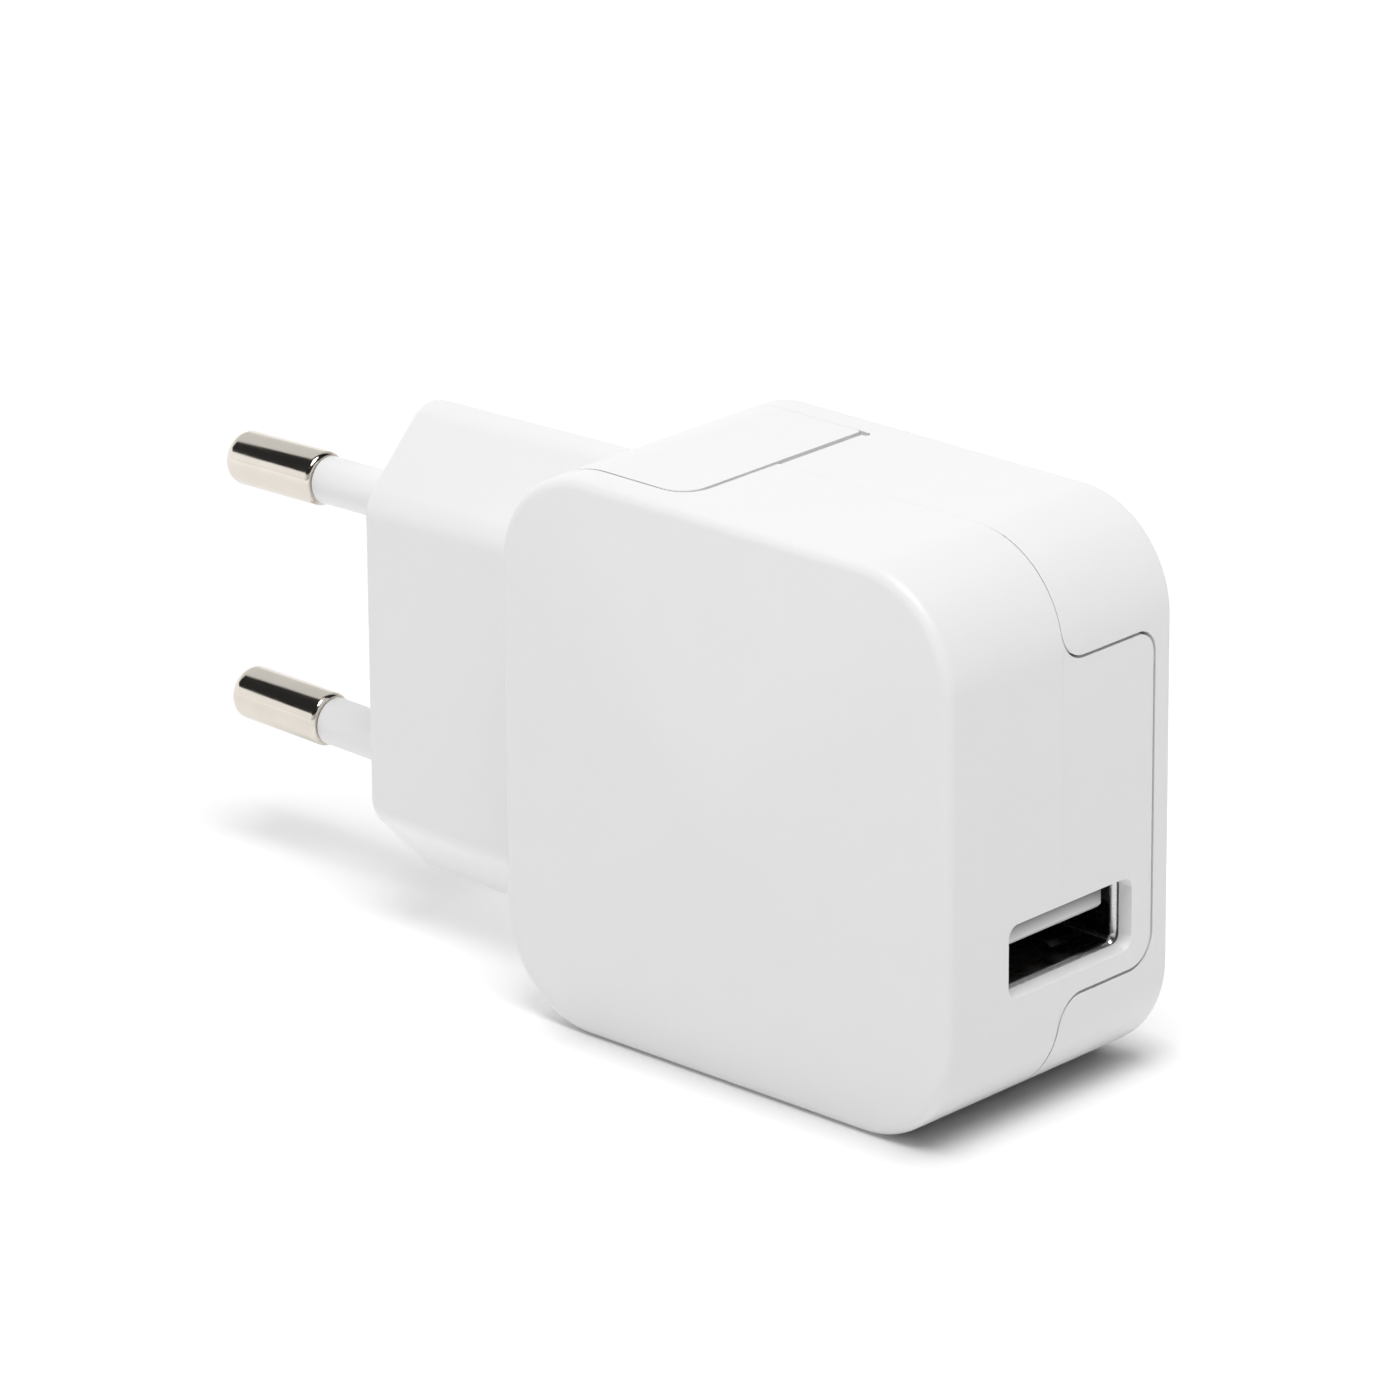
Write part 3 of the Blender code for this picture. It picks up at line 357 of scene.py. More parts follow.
class Shader:
    """A short way to build one node material."""

    def __init__(self, name):
        self.material = bpy.data.materials.new(name)
        self.material.use_nodes = True
        self.tree = self.material.node_tree
        self.main = self.tree.nodes["Principled BSDF"]

    def set(self, **values):
        """Constant values on the main shader, underscores standing for spaces."""
        for label, value in values.items():
            self.main.inputs[label.replace("_", " ")].default_value = value
        return self

    def node(self, kind, **settings):
        """A new node; settings that start with in_ are input values."""
        made = self.tree.nodes.new(kind)
        for label, value in settings.items():
            if label.startswith("in_"):
                made.inputs[label[3:].replace("_", " ")].default_value = value
            else:
                setattr(made, label, value)
        return made

    def link(self, source, target):
        self.tree.links.new(source, target)

    def coords(self, scale=(1, 1, 1)):
        """Object coordinates in metres, stretched per axis."""
        where = self.node("ShaderNodeTexCoord")
        mapping = self.node("ShaderNodeMapping")
        mapping.inputs["Scale"].default_value = scale
        self.link(where.outputs["Object"], mapping.inputs["Vector"])
        return mapping.outputs["Vector"]

    def along(self, axis):
        """One object coordinate in metres."""
        where = self.node("ShaderNodeTexCoord")
        split = self.node("ShaderNodeSeparateXYZ")
        self.link(where.outputs["Object"], split.inputs["Vector"])
        return split.outputs[axis]

    def noise(self, scale, detail=2.0, stretch=(1, 1, 1), roughness=0.5):
        """Procedural noise between 0 and 1."""
        made = self.node("ShaderNodeTexNoise", in_Scale=scale, in_Detail=detail,
                         in_Roughness=roughness)
        self.link(self.coords(stretch), made.inputs["Vector"])
        return made.outputs["Fac"]

    def ramp(self, source, low, high, start=0.0, end=1.0):
        """Map a value to a value."""
        made = self.node("ShaderNodeMapRange")
        made.inputs["From Min"].default_value = start
        made.inputs["From Max"].default_value = end
        made.inputs["To Min"].default_value = low
        made.inputs["To Max"].default_value = high
        self.link(source, made.inputs["Value"])
        return made.outputs["Result"]

    def mix_color(self, source, first, second):
        """A colour between two, by a value from 0 to 1."""
        made = self.node("ShaderNodeMix", data_type="RGBA")
        made.inputs[6].default_value = (*first, 1)
        made.inputs[7].default_value = (*second, 1)
        self.link(source, made.inputs[0])
        return made.outputs[2]

    def bump(self, height, strength, distance, after=None):
        """A surface normal from a height, on top of another normal."""
        made = self.node("ShaderNodeBump")
        made.inputs["Strength"].default_value = strength
        made.inputs["Distance"].default_value = distance
        self.link(height, made.inputs["Height"])
        if after:
            self.link(after, made.inputs["Normal"])
        return made.outputs["Normal"]

    def color(self, source):
        self.link(source, self.main.inputs["Base Color"])

    def rough(self, source):
        self.link(source, self.main.inputs["Roughness"])

    def normal(self, source):
        self.link(source, self.main.inputs["Normal"])


def moulded_plastic(name, color, roughness=0.42, grain=0.35, seam_line=False):
    """White moulded plastic: fine spark-eroded grain, very slight mottling."""
    shader = Shader(name)
    shader.set(Specular_IOR_Level=0.5)
    mottle = shader.noise(260, 3)
    darker = tuple(c * 0.985 for c in color)
    shader.color(shader.mix_color(mottle, darker, color))
    shader.rough(shader.ramp(shader.noise(900, 2), roughness - 0.05, roughness + 0.05))
    fine = shader.bump(shader.noise(9000, 3, roughness=0.6), grain, 0.00002)
    coarse = shader.bump(shader.noise(2600, 2), grain * 0.6, 0.00003, fine)
    shader.normal(witness_line(shader, coarse) if seam_line else coarse)
    return shader.material


def witness_line(shader, after):
    """A hair-thin raised line where the mould halves met, at Y = 0."""
    away = shader.node("ShaderNodeMath", operation="ABSOLUTE")
    shader.link(shader.along("Y"), away.inputs[0])
    line = shader.ramp(away.outputs["Value"], 1.0, 0.0, 0.0, 0.00012)
    return shader.bump(line, 0.6, 0.00004, after)


def tongue_plastic(name, front, back):
    """White contact tongue, its moulding black at the back of the socket as painted shade.

    Its upper part carries painted shade, because the studio's light reaches too far into the mouth.
    """
    shader = Shader(name)
    root = BODY_X + TONGUE_ROOT * MM
    # painted shade: the moulding is black behind the tongue's root, deep in the socket
    share = shader.ramp(shader.along("X"), 0.0, 1.0, root, root + 0.0003)
    white = shader.mix_color(share, back, front)
    # painted shade: darkens the tongue's front towards its top, under the window lip
    height = shader.ramp(shader.along("Z"), 0.0, 1.0, SHADE_START * MM, SHADE_FULL * MM)
    shade = shader.node("ShaderNodeMix", data_type="RGBA", blend_type="MULTIPLY")
    shade.inputs[7].default_value = (TONGUE_SHADE, TONGUE_SHADE, TONGUE_SHADE, 1)
    shader.link(height, shade.inputs[0])
    shader.link(white, shade.inputs[6])
    shader.color(shade.outputs[2])
    shader.rough(shader.ramp(shader.noise(900, 2), 0.4, 0.5))
    shader.normal(shader.bump(shader.noise(6000, 3), 0.3, 0.00002))
    return shader.material


def sleeve_steel(name, lip, inside):
    """Tinned steel in its own colour on the flared lip, with painted shade darkening it inside the sleeve.
    """
    shader = Shader(name)
    shader.set(Metallic=1.0)
    # painted shade: the steel's colour drops inside the sleeve, behind the flared lip
    start = BODY_X + (USB_MOUTH - FLARE_LENGTH) * MM
    share = shader.ramp(shader.along("X"), 0.0, 1.0, start, start + 0.0002)
    shader.color(shader.mix_color(share, inside, lip))
    streak = shader.noise(5200, 4, (1, 0.1, 1), 0.65)
    shader.rough(shader.ramp(streak, 0.15, 0.32, 0.3, 0.7))
    shader.normal(shader.bump(streak, 0.25, 0.000012))
    return shader.material


def plated_metal(name, color, roughness, stretch=(1, 1, 1), scratch=0.25):
    """Polished plated metal with fine scratches drawn along one axis."""
    shader = Shader(name)
    shader.set(Metallic=1.0)
    streak = shader.noise(5200, 4, stretch, 0.65)
    cloud = shader.noise(420, 3)
    tint = tuple(c * 0.86 for c in color)
    shader.color(shader.mix_color(cloud, tint, color))
    shader.rough(shader.ramp(streak, roughness * 0.7, roughness * 1.6, 0.3, 0.7))
    shader.normal(shader.bump(streak, scratch, 0.000012))
    return shader.material


def plain_part(name, color, roughness, metallic=0.0, scale=1400, depth=0.00002, vary=0.12):
    """A moulded, cast or coated inner part: noise in its colour, roughness and surface."""
    shader = Shader(name)
    shader.set(Metallic=metallic)
    cloud = shader.noise(scale, 3)
    low = tuple(c * (1 - vary) for c in color)
    high = tuple(min(c * (1 + vary), 1) for c in color)
    shader.color(shader.mix_color(cloud, low, high))
    shader.rough(shader.ramp(cloud, max(roughness - 0.08, 0.05), roughness + 0.08))
    shader.normal(shader.bump(shader.noise(scale * 3, 2), 0.35, depth))
    return shader.material


def wound_wire(name, color, axis, pitch=0.00035):
    """Enamelled wire laid side by side: ridges across one axis, with painted shade in the grooves between
    turns.
    """
    shader = Shader(name)
    shader.set(Metallic=0.9, Coat_Weight=0.6, Coat_Roughness=0.15)
    wave = shader.node("ShaderNodeTexWave", wave_type="BANDS", bands_direction=axis,
                       in_Scale=math.pi / 10 / pitch, in_Distortion=0.4)
    shader.link(shader.coords(), wave.inputs["Vector"])
    # painted shade: darker colour in the grooves between wire turns
    low = tuple(c * 0.45 for c in color)
    shader.color(shader.mix_color(wave.outputs["Fac"], low, color))
    shader.rough(shader.ramp(shader.noise(900), 0.25, 0.4))
    shader.normal(shader.bump(wave.outputs["Fac"], 0.8, 0.0001))
    return shader.material


def circuit_board(name):
    """Green solder mask with paler copper tracks under it."""
    shader = Shader(name)
    shader.set(Coat_Weight=0.4, Coat_Roughness=0.2)
    cells = shader.node("ShaderNodeTexVoronoi", distance="CHEBYCHEV", feature="DISTANCE_TO_EDGE",
                        in_Scale=420)
    shader.link(shader.coords(), cells.inputs["Vector"])
    track = shader.ramp(cells.outputs["Distance"], 1.0, 0.0, 0.06, 0.09)
    shader.color(shader.mix_color(track, (0.012, 0.10, 0.035), (0.03, 0.22, 0.07)))
    shader.rough(shader.ramp(shader.noise(700), 0.3, 0.45))
    shader.normal(shader.bump(track, 0.3, 0.00003))
    return shader.material


# ---------------------------------------------------------------- charger body

def face_height(scale):
    """Rise of a big face between its rim (1) and its middle (0): flat slopes, soft summit."""
    soft = 0.16
    top = math.sqrt(1 + soft * soft)
    slope = (top - math.sqrt(scale * scale + soft * soft)) / (top - soft)
    return FACE_CROWN * slope


def shell_cup(name, side, reach):
    """One half of the casing as an open cup: side is -1 for the front and 1 for the rear."""
    rings = [[(0, side * (HALF_DEPTH + FACE_CROWN), MIDDLE)]]
    rim = body_outline(RIM_RADIUS)
    steps = 16
    for step in range(1, steps + 1):
        scale = step / steps
        y = side * (HALF_DEPTH + face_height(scale))
        rings.append([(x * scale, y, MIDDLE + (z - MIDDLE) * scale) for x, z in rim])
    for degrees in range(12, 91, 13):
        angle = math.radians(degrees)
        inset = RIM_RADIUS * (1 - math.sin(angle))
        y = side * (HALF_DEPTH - RIM_RADIUS * (1 - math.cos(angle)))
        rings.append([(x, y, z) for x, z in body_outline(inset)])
    rings.append([(x, reach, z) for x, z in body_outline()])
    rings.append([(x, reach, z) for x, z in body_outline(WALL)])
    floor = side * (HALF_DEPTH - WALL)
    rings.append([(x, floor, z) for x, z in body_outline(WALL)])
    rings.append([(0, floor, MIDDLE)])
    return loft(name, rings)


def bay_tool(end):
    """Corner opening for the plug head, up to this end wall."""
    outline = rounded([(-SIDE - 5, BAY_FRONT, 0), (end, BAY_FRONT, BAY_CORNER),
                       (end, BAY_REAR, NOTCH_RADIUS), (-SIDE - 5, BAY_REAR, 0)])
    return prism("bay", outline, "Z", BAY_FLOOR, BODY_HEIGHT + 5)


SPLIT_X = 14.0             # the tongue lies beyond this X
WINDOW_LIP = 1.0
WINDOW_DRAFT = 0.22        # the window narrows by this much on every side
WINDOW_FILLET = 0.05


def window_tool():
    """The USB window: a rounded mouth, drafted walls and a straight run behind them."""
    stations = [(SIDE + 1.5, WINDOW_FILLET)]
    for degrees in (0, 30, 60, 90):
        angle = math.radians(degrees)
        stations.append((SIDE - WINDOW_FILLET * math.sin(angle), WINDOW_FILLET * (1 - math.sin(angle))))
    stations += [(SIDE - WINDOW_LIP, -WINDOW_DRAFT), (SIDE - 4, -WINDOW_DRAFT)]
    rings = []
    for x, grow in stations:
        outline = rectangle(USB_Y, USB_Z, WINDOW_WIDTH + 2 * grow, WINDOW_HEIGHT + 2 * grow, 0.9 + grow)
        rings.append([place("X", y, z, x) for y, z in outline])
    return loft("window", rings)


def fine_front_shell():
    """Front shell: the cup with its tongue, bay corner and USB window."""
    shell = shell_cup("front_shell_fine", -1, HALF_DEPTH - 1.2)
    far = HALF_DEPTH + 3
    edge = -SEAM / 2
    behind = block("behind", (-SIDE - 3, edge, -3), (SPLIT_X + 1, far, BODY_HEIGHT + 3))
    apply_boolean(shell, behind)
    outline = seam_path(-1) + [(far, BODY_HEIGHT + 5), (far, -5)]
    apply_boolean(shell, prism("tongue", outline, "X", SPLIT_X, SIDE + 3))
    apply_boolean(shell, bay_tool(BAY_END))
    room = 2 * (USB_SHEET + USB_FLARE + 0.25)
    pocket = rectangle(USB_Y, USB_Z, USB_INNER_WIDTH + room, USB_INNER_HEIGHT + room, 1.2)
    apply_boolean(shell, prism("pocket", pocket, "X", SIDE - 4, SIDE - WINDOW_LIP))
    apply_boolean(shell, window_tool())
    soften(shell, SHELL_EDGE)
    return shell


def fine_rear_shell():
    """Rear shell: the cup cut back round the tongue, with its side of the bay."""
    shell = shell_cup("rear_shell_fine", 1, SEAM / 2)
    outline = seam_path(1) + [(-3, BODY_HEIGHT + 5), (-3, -5)]
    apply_boolean(shell, prism("tongue", outline, "X", SPLIT_X + 1, SIDE + 3))
    end = BAY_END + BAY_STEP
    apply_boolean(shell, bay_tool(end))
    notch = [(BAY_FLOOR + 1, NOTCH_RADIUS), (BODY_HEIGHT + 5, NOTCH_RADIUS)]
    apply_boolean(shell, turned("notch", notch, "Z", end + 0.12, BAY_REAR - NOTCH_RADIUS, 24))
    soften(shell, SHELL_EDGE)
    return shell


# ---------------------------------------------------------------- plug head

def corner_outline(inset, end, low):
    """Corner block in X and Z: the body's own rounded corner, its floor and its end wall."""
    center_x = -SIDE + CORNER_RADIUS
    center_z = BODY_HEIGHT - CORNER_RADIUS
    corner = arc(center_x, center_z, CORNER_RADIUS - inset, 180, 90, 24)
    return [(-SIDE + inset, low)] + corner + [(end, BODY_HEIGHT - inset), (end, low)]


def fine_head_shell():
    """Hexagonal plug body and the tab and cheeks of the corner block, in one moulding."""
    edge = 0.7
    rings = []
    for degrees in range(0, 91, 15):
        angle = math.radians(degrees)
        inset = edge * (1 - math.sin(angle))
        x = HEAD_END + edge * (1 - math.cos(angle))
        rings.append([place("X", y, z, x) for y, z in hexagon(x, inset)])
    far = -SIDE + CORNER_RADIUS
    rings.append([place("X", y, z, far) for y, z in hexagon(far)])
    shell = loft("plug_head_shell_fine", rings)
    floor = BAY_FLOOR + 0.3
    apply_boolean(shell, block("below", (-SIDE - 0.25, -HALF_DEPTH, -3), (0, HALF_DEPTH, floor)))
    skin = prism("skin", corner_outline(0.0, TAB_END, floor), "Y", TAB_FRONT, TAB_REAR)
    tab = rounded([(-SIDE - 3, TAB_FRONT, 0), (TAB_END, TAB_FRONT, TAB_CORNER),
                   (TAB_END, TAB_REAR, 0.4), (-SIDE - 3, TAB_REAR, 0)])
    apply_boolean(skin, prism("tab", tab, "Z", 0, BODY_HEIGHT + 3), "INTERSECT")
    apply_boolean(shell, skin, "UNION")
    ledge = rounded([(-SIDE / 2, TAB_FRONT, 0), (LEDGE_END, TAB_FRONT, TAB_CORNER),
                     (LEDGE_END, TAB_REAR, 0.4), (-SIDE / 2, TAB_REAR, 0)])
    top = BODY_HEIGHT - LEDGE_DEPTH
    apply_boolean(shell, prism("ledge", ledge, "Z", top - 0.6, top), "UNION")
    hollow = corner_outline(HEAD_WALL, 0.0, floor - 3)
    apply_boolean(shell, prism("hollow", hollow, "Y", TAB_FRONT + 1.2, TAB_REAR - 1.2))
    inner = []
    for x in (HEAD_END + HEAD_WALL, -SIDE + WALL + 1.0):
        inner.append([place("X", y, z, x) for y, z in hexagon(x, HEAD_WALL)])
    apply_boolean(shell, loft("inside", inner))
    for sign in (1, -1):
        hole = turned("hole", [(HEAD_END - 2, SLEEVE_RADIUS + 0.04), (HEAD_END + 3, SLEEVE_RADIUS + 0.04)],
                      "X", 0, 0)
        lean(hole, sign)
        apply_boolean(shell, hole)
    soften(shell, SHELL_EDGE)
    return shell


def lean(item, sign):
    """Move a pin piece to its place on the end face and lean it towards the middle."""
    shift = Vector((BODY_X, 0, 0))
    foot = shift + Vector((HEAD_END, 0, HEAD_Z + sign * PIN_SPACING / 2)) * MM
    base = shift + Vector((HEAD_END, 0, 0)) * MM
    turn = Matrix.Rotation(-sign * PIN_LEAN, 4, "Y")
    item.data.transform(Matrix.Translation(foot) @ turn @ Matrix.Translation(-base))


def fine_pin(name, sign):
    """Turned pin: rounded tip, straight barrel, rolled edge and neck."""
    ring = HEAD_END - SLEEVE_LENGTH
    tip = ring - PIN_BARE
    r = PIN_RADIUS
    nose = 1.05
    flat = r - nose
    profile = [(tip, 0), (tip, flat * 0.6), (tip + 0.01, flat)]
    for degrees in range(8, 90, 8):
        angle = math.radians(degrees)
        profile.append((tip + 0.01 + nose * (1 - math.cos(angle)), flat + nose * math.sin(angle)))
    profile += [(tip + nose, r), (ring - 0.5, r)]
    for degrees in range(15, 91, 15):
        angle = math.radians(degrees)
        profile.append((ring - 0.5 + 0.4 * math.sin(angle), r - 0.4 * (1 - math.cos(angle))))
    profile += [(ring - 0.08, r - 0.5), (ring - 0.1, NECK_RADIUS)]
    flange = HEAD_END + HEAD_WALL + 0.3
    profile += [(flange + 0.6, NECK_RADIUS), (flange + 0.6, 2.3), (flange + 0.7, 2.4),
                (flange + 2.1, 2.4), (flange + 2.2, 2.3), (flange + 2.2, 1.4),
                (HEAD_END + PIN_TAIL - 0.2, 1.4), (HEAD_END + PIN_TAIL, 1.2),
                (HEAD_END + PIN_TAIL, 0)]
    made = turned(name, profile, "X", 0, 0, 64)
    lean(made, sign)
    return made


def fine_sleeve(name, sign):
    """Insulating tube with a soft shoulder where it meets the bare pin."""
    low = HEAD_END - SLEEVE_LENGTH - 0.02
    high = HEAD_END + HEAD_WALL + 0.2
    bore = NECK_RADIUS + 0.1
    r = SLEEVE_RADIUS
    profile = [(low, bore), (low, r - 0.12), (low + 0.04, r - 0.04), (low + 0.12, r),
               (high, r), (high, bore)]
    rings = []
    for x, radius in profile:
        circle = arc(0, 0, radius, 0, 360 - 7.5, 47)
        rings.append([(x, u, v) for u, v in circle])
    made = loft(name, rings, closed=True)
    lean(made, sign)
    return made


# ---------------------------------------------------------------- bay, seen with the head pulled off

GAP = 0.3                  # clearance between inner pieces
BAY_MID = -0.15
INLET_END = -5.1
INLET_Z = 33.0
INLET_SPACING = 8.6
INLET_PIN_RADIUS = 1.2
NOSE_RADIUS = 2.9
NOSE_LENGTH = 7.2
STUD_X = -12.0
STUD_RADIUS = 1.5
CHEEK_INSIDE = 7.25        # half the room between the corner block's cheeks, less the clearance
INNER_EDGE = 0.15


def figure_eight(radius):
    """Two round lobes joined by a slightly narrower web, in Y and Z."""
    half = INLET_SPACING / 2
    right = arc(BAY_MID + half, INLET_Z, radius, -120, 120, 40)
    left = arc(BAY_MID - half, INLET_Z, radius, 60, 300, 40)
    return right + left


def inlet_places():
    """Each inlet pin's label and its Y."""
    return (("front", BAY_MID - INLET_SPACING / 2), ("rear", BAY_MID + INLET_SPACING / 2))


def fine_inlet_housing():
    """Floor and end wall of the bay, with the figure-eight well in the end wall."""
    thick = 1.2
    low = BAY_FLOOR - thick - 0.1
    top = BODY_HEIGHT - WALL - GAP
    left = -SIDE + WALL + GAP
    half = HALF_DEPTH - WALL - GAP
    outline = [(left, low), (INLET_END + thick, low), (INLET_END + thick, top), (INLET_END, top),
               (INLET_END, BAY_FLOOR), (left, BAY_FLOOR)]
    housing = prism("inlet_housing_fine", outline, "Y", -half, half)
    well_end = INLET_END + NOSE_LENGTH
    outer = prism("well", figure_eight(NOSE_RADIUS + GAP + 1.0), "X", INLET_END + 0.4, well_end + 1.0)
    apply_boolean(housing, outer, "UNION")
    apply_boolean(housing, prism("well", figure_eight(NOSE_RADIUS + GAP), "X", INLET_END - 1, well_end))
    bore = INLET_PIN_RADIUS + GAP
    for _, y in inlet_places():
        hole = turned("hole", [(well_end - 1, bore), (well_end + 2, bore)], "X", y, INLET_Z)
        apply_boolean(housing, hole)
    bore = STUD_RADIUS + GAP
    hole = turned("hole", [(BAY_FLOOR - 4, bore), (BAY_FLOOR + 1, bore)], "Z", STUD_X, BAY_MID)
    apply_boolean(housing, hole)
    soften(housing, INNER_EDGE)
    return housing


def fine_socket_block():
    """Inner moulding of the corner block: figure-eight nose, slot for the stud and contact bores."""
    end = INLET_END - GAP
    low = BAY_FLOOR + GAP
    outline = corner_outline(HEAD_WALL + GAP, end, low)
    body = prism("socket_block_fine", outline, "Y", BAY_MID - CHEEK_INSIDE, BAY_MID + CHEEK_INSIDE)
    nose = prism("nose", figure_eight(NOSE_RADIUS), "X", end - 1, end + NOSE_LENGTH)
    apply_boolean(body, nose, "UNION")
    back = STUD_X - 3.6
    for half, bottom, top in ((1.8, low - 1, low + 1.4), (3.6, low + 1.3, low + 3.4)):
        slot = block("slot", (back, BAY_MID - half, bottom), (end + 9, BAY_MID + half, top))
        apply_boolean(body, slot)
    pocket = block("pocket", (-SIDE, BAY_MID - 6.3, low + 2.5), (back - 0.7, BAY_MID + 6.3, 35.2))
    apply_boolean(body, pocket)
    for _, y in inlet_places():
        bore = turned("bore", [(-SIDE, 2.2), (end + NOSE_LENGTH + 1, 2.2)], "X", y, INLET_Z)
        apply_boolean(body, bore)
    soften(body, INNER_EDGE)
    return body


def fine_lock_stud():
    """Turned steel mushroom with a rounded cap."""
    foot, cap = BAY_FLOOR - 2.6, BAY_FLOOR + 3.3
    cap_radius, bend = 3.2, 0.5
    profile = [(foot, 0), (foot, 2.4), (foot + 0.1, 2.5), (foot + 1.0, 2.5), (foot + 1.0, STUD_RADIUS),
               (cap - 1.4, STUD_RADIUS), (cap - 1.4, cap_radius - 0.15), (cap - 1.25, cap_radius)]
    for degrees in range(0, 91, 15):
        angle = math.radians(degrees)
        profile.append((cap - bend * (1 - math.sin(angle)), cap_radius - bend * (1 - math.cos(angle))))
    profile.append((cap, 0))
    return turned("lock_stud_fine", profile, "Z", STUD_X, BAY_MID, 64)


def fine_inlet_pin(label, y):
    """Round contact with a rounded free end."""
    tip = INLET_END + 1.2
    tail = INLET_END + NOSE_LENGTH + 1.8
    nose = 0.7
    flat = INLET_PIN_RADIUS - nose
    profile = [(tip, 0)]
    for degrees in range(0, 91, 15):
        angle = math.radians(degrees)
        profile.append((tip + nose * (1 - math.cos(angle)), flat + nose * math.sin(angle)))
    profile += [(tail, INLET_PIN_RADIUS), (tail, 0)]
    return turned("inlet_pin_%s_fine" % label, profile, "X", y, INLET_Z, 40)


# ---------------------------------------------------------------- USB socket

SPRING_X = (13.6, 17.2)
SPRING_OFFSET = 3.15


def fine_usb_shell():
    """Folded sleeve with a flared mouth and four pressed springs."""
    profile = [(USB_SHEET, USB_BACK), (USB_SHEET, USB_MOUTH - FLARE_LENGTH)]
    for share in (0.25, 0.5, 0.75, 1.0):
        profile.append((USB_SHEET + USB_FLARE * share ** 1.6, USB_MOUTH - FLARE_LENGTH + FLARE_RUN * share))
    profile.append((USB_SHEET / 2 + USB_FLARE, USB_MOUTH))
    for share in (1.0, 0.75, 0.5, 0.25, 0.0):
        profile.append((USB_FLARE * share ** 1.6, USB_MOUTH - FLARE_LENGTH + FLARE_RUN * share))
    profile.append((0.0, USB_BACK))
    rings = []
    for grow, x in profile:
        outline = rectangle(USB_Y, USB_Z, USB_INNER_WIDTH + 2 * grow, USB_INNER_HEIGHT + 2 * grow,
                            0.6 + grow)
        rings.append([place("X", y, z, x) for y, z in outline])
    sleeve = loft("usb_shell_fine", rings, closed=True)
    for side in (-1, 1):
        for level in (-1, 1):
            y = USB_Y + side * SPRING_OFFSET
            z = USB_Z + level * (USB_INNER_HEIGHT + USB_SHEET) / 2
            slot = block("slot", (SPRING_X[0], y - 1.15, z - 0.6), (SPRING_X[1], y + 1.15, z + 0.6), 0.3)
            apply_boolean(sleeve, slot)
            spring = usb_spring(y, USB_Z + level * USB_INNER_HEIGHT / 2, level)
            apply_boolean(sleeve, spring, "UNION")
    sleeve.data.shade_smooth()
    sleeve.data.set_sharp_from_angle(angle=math.radians(35))
    return sleeve


def usb_spring(y, z, level):
    """A leaf that starts at the slot's inner end and dips into the mouth."""
    sheet = 0.22
    start = SPRING_X[0]
    path = [(-0.3, 0.05), (0.5, 0.1), (1.6, 0.36), (2.2, 0.42), (2.8, 0.36), (3.2, 0.18)]
    near = [(start + x, z - level * dip) for x, dip in path]
    back = [(start + x, z - level * (dip - sheet)) for x, dip in reversed(path)]
    return prism("spring", near + back, "Y", y - 0.85, y + 0.85)


TONGUE_UNDER = USB_Z - 0.02
TONGUE_TOP = TONGUE_UNDER + 1.84
CONTACT_OFFSETS = (-3.5, -1.0, 1.0, 3.5)


def fine_usb_insulator():
    """Socket moulding with the contact tongue, its lead-in chamfers and four contact grooves."""
    half_width = USB_INNER_WIDTH / 2 - 0.05
    half_height = USB_INNER_HEIGHT / 2 - 0.05
    low, high = USB_Z - half_height, USB_Z + half_height
    tip = USB_MOUTH - 0.7
    base = USB_BACK + 4.0
    chamfer = 0.3
    side = [(USB_BACK + 0.2, low), (base, low), (base, TONGUE_UNDER), (tip - chamfer, TONGUE_UNDER),
            (tip, TONGUE_UNDER + chamfer), (tip, TONGUE_TOP - chamfer), (tip - chamfer, TONGUE_TOP),
            (base, TONGUE_TOP), (base, high), (USB_BACK + 0.2, high)]
    body = prism("usb_insulator_fine", side, "Y", USB_Y - half_width, USB_Y + half_width)
    for sign in (-1, 1):
        near = USB_Y + sign * 5.55
        beyond = USB_Y + sign * 7.5
        apply_boolean(body, block("side", (base, min(near, beyond), low - 1),
                                          (tip + 1, max(near, beyond), high + 1)))
    for offset in CONTACT_OFFSETS:
        y = USB_Y + offset
        apply_boolean(body, block("groove", (base - 1.0, y - 0.62, TONGUE_UNDER - 1),
                                            (USB_MOUTH - 1.6, y + 0.62, TONGUE_UNDER + 0.2)))
    soften(body, 0.06, 2)
    return body


def fine_usb_contact(number, offset):
    """Sprung strip with its raised contact bow, curled at the tip."""
    y = USB_Y + offset
    high = TONGUE_UNDER + 0.12
    path = [(USB_BACK + 0.4, high), (13.2, high)]
    for step in range(9):
        share = step / 8
        path.append((13.6 + 2.6 * share, high - 0.42 * math.sin(math.pi * share)))
    path.append((USB_MOUTH - 1.7, high + 0.05))
    outline = path + [(x, z - 0.25) for x, z in reversed(path)]
    made = prism("usb_contact_%d_fine" % number, outline, "Y", y - 0.5, y + 0.5)
    soften(made, 0.04, 2)
    return made


# ---------------------------------------------------------------- assembly

def stand_for(piece, node, material, body="charger_body"):
    """Hang a fine piece on its body in place of a CAD node."""
    piece.data.materials.clear()
    piece.data.materials.append(material)
    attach(piece, body)
    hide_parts(node)


def dress(node, material):
    """Give a carried-over CAD node its finished material."""
    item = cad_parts[node]
    for index in range(len(item.material_slots)):
        item.material_slots[index].material = material
    if not item.material_slots:
        item.data.materials.append(material)


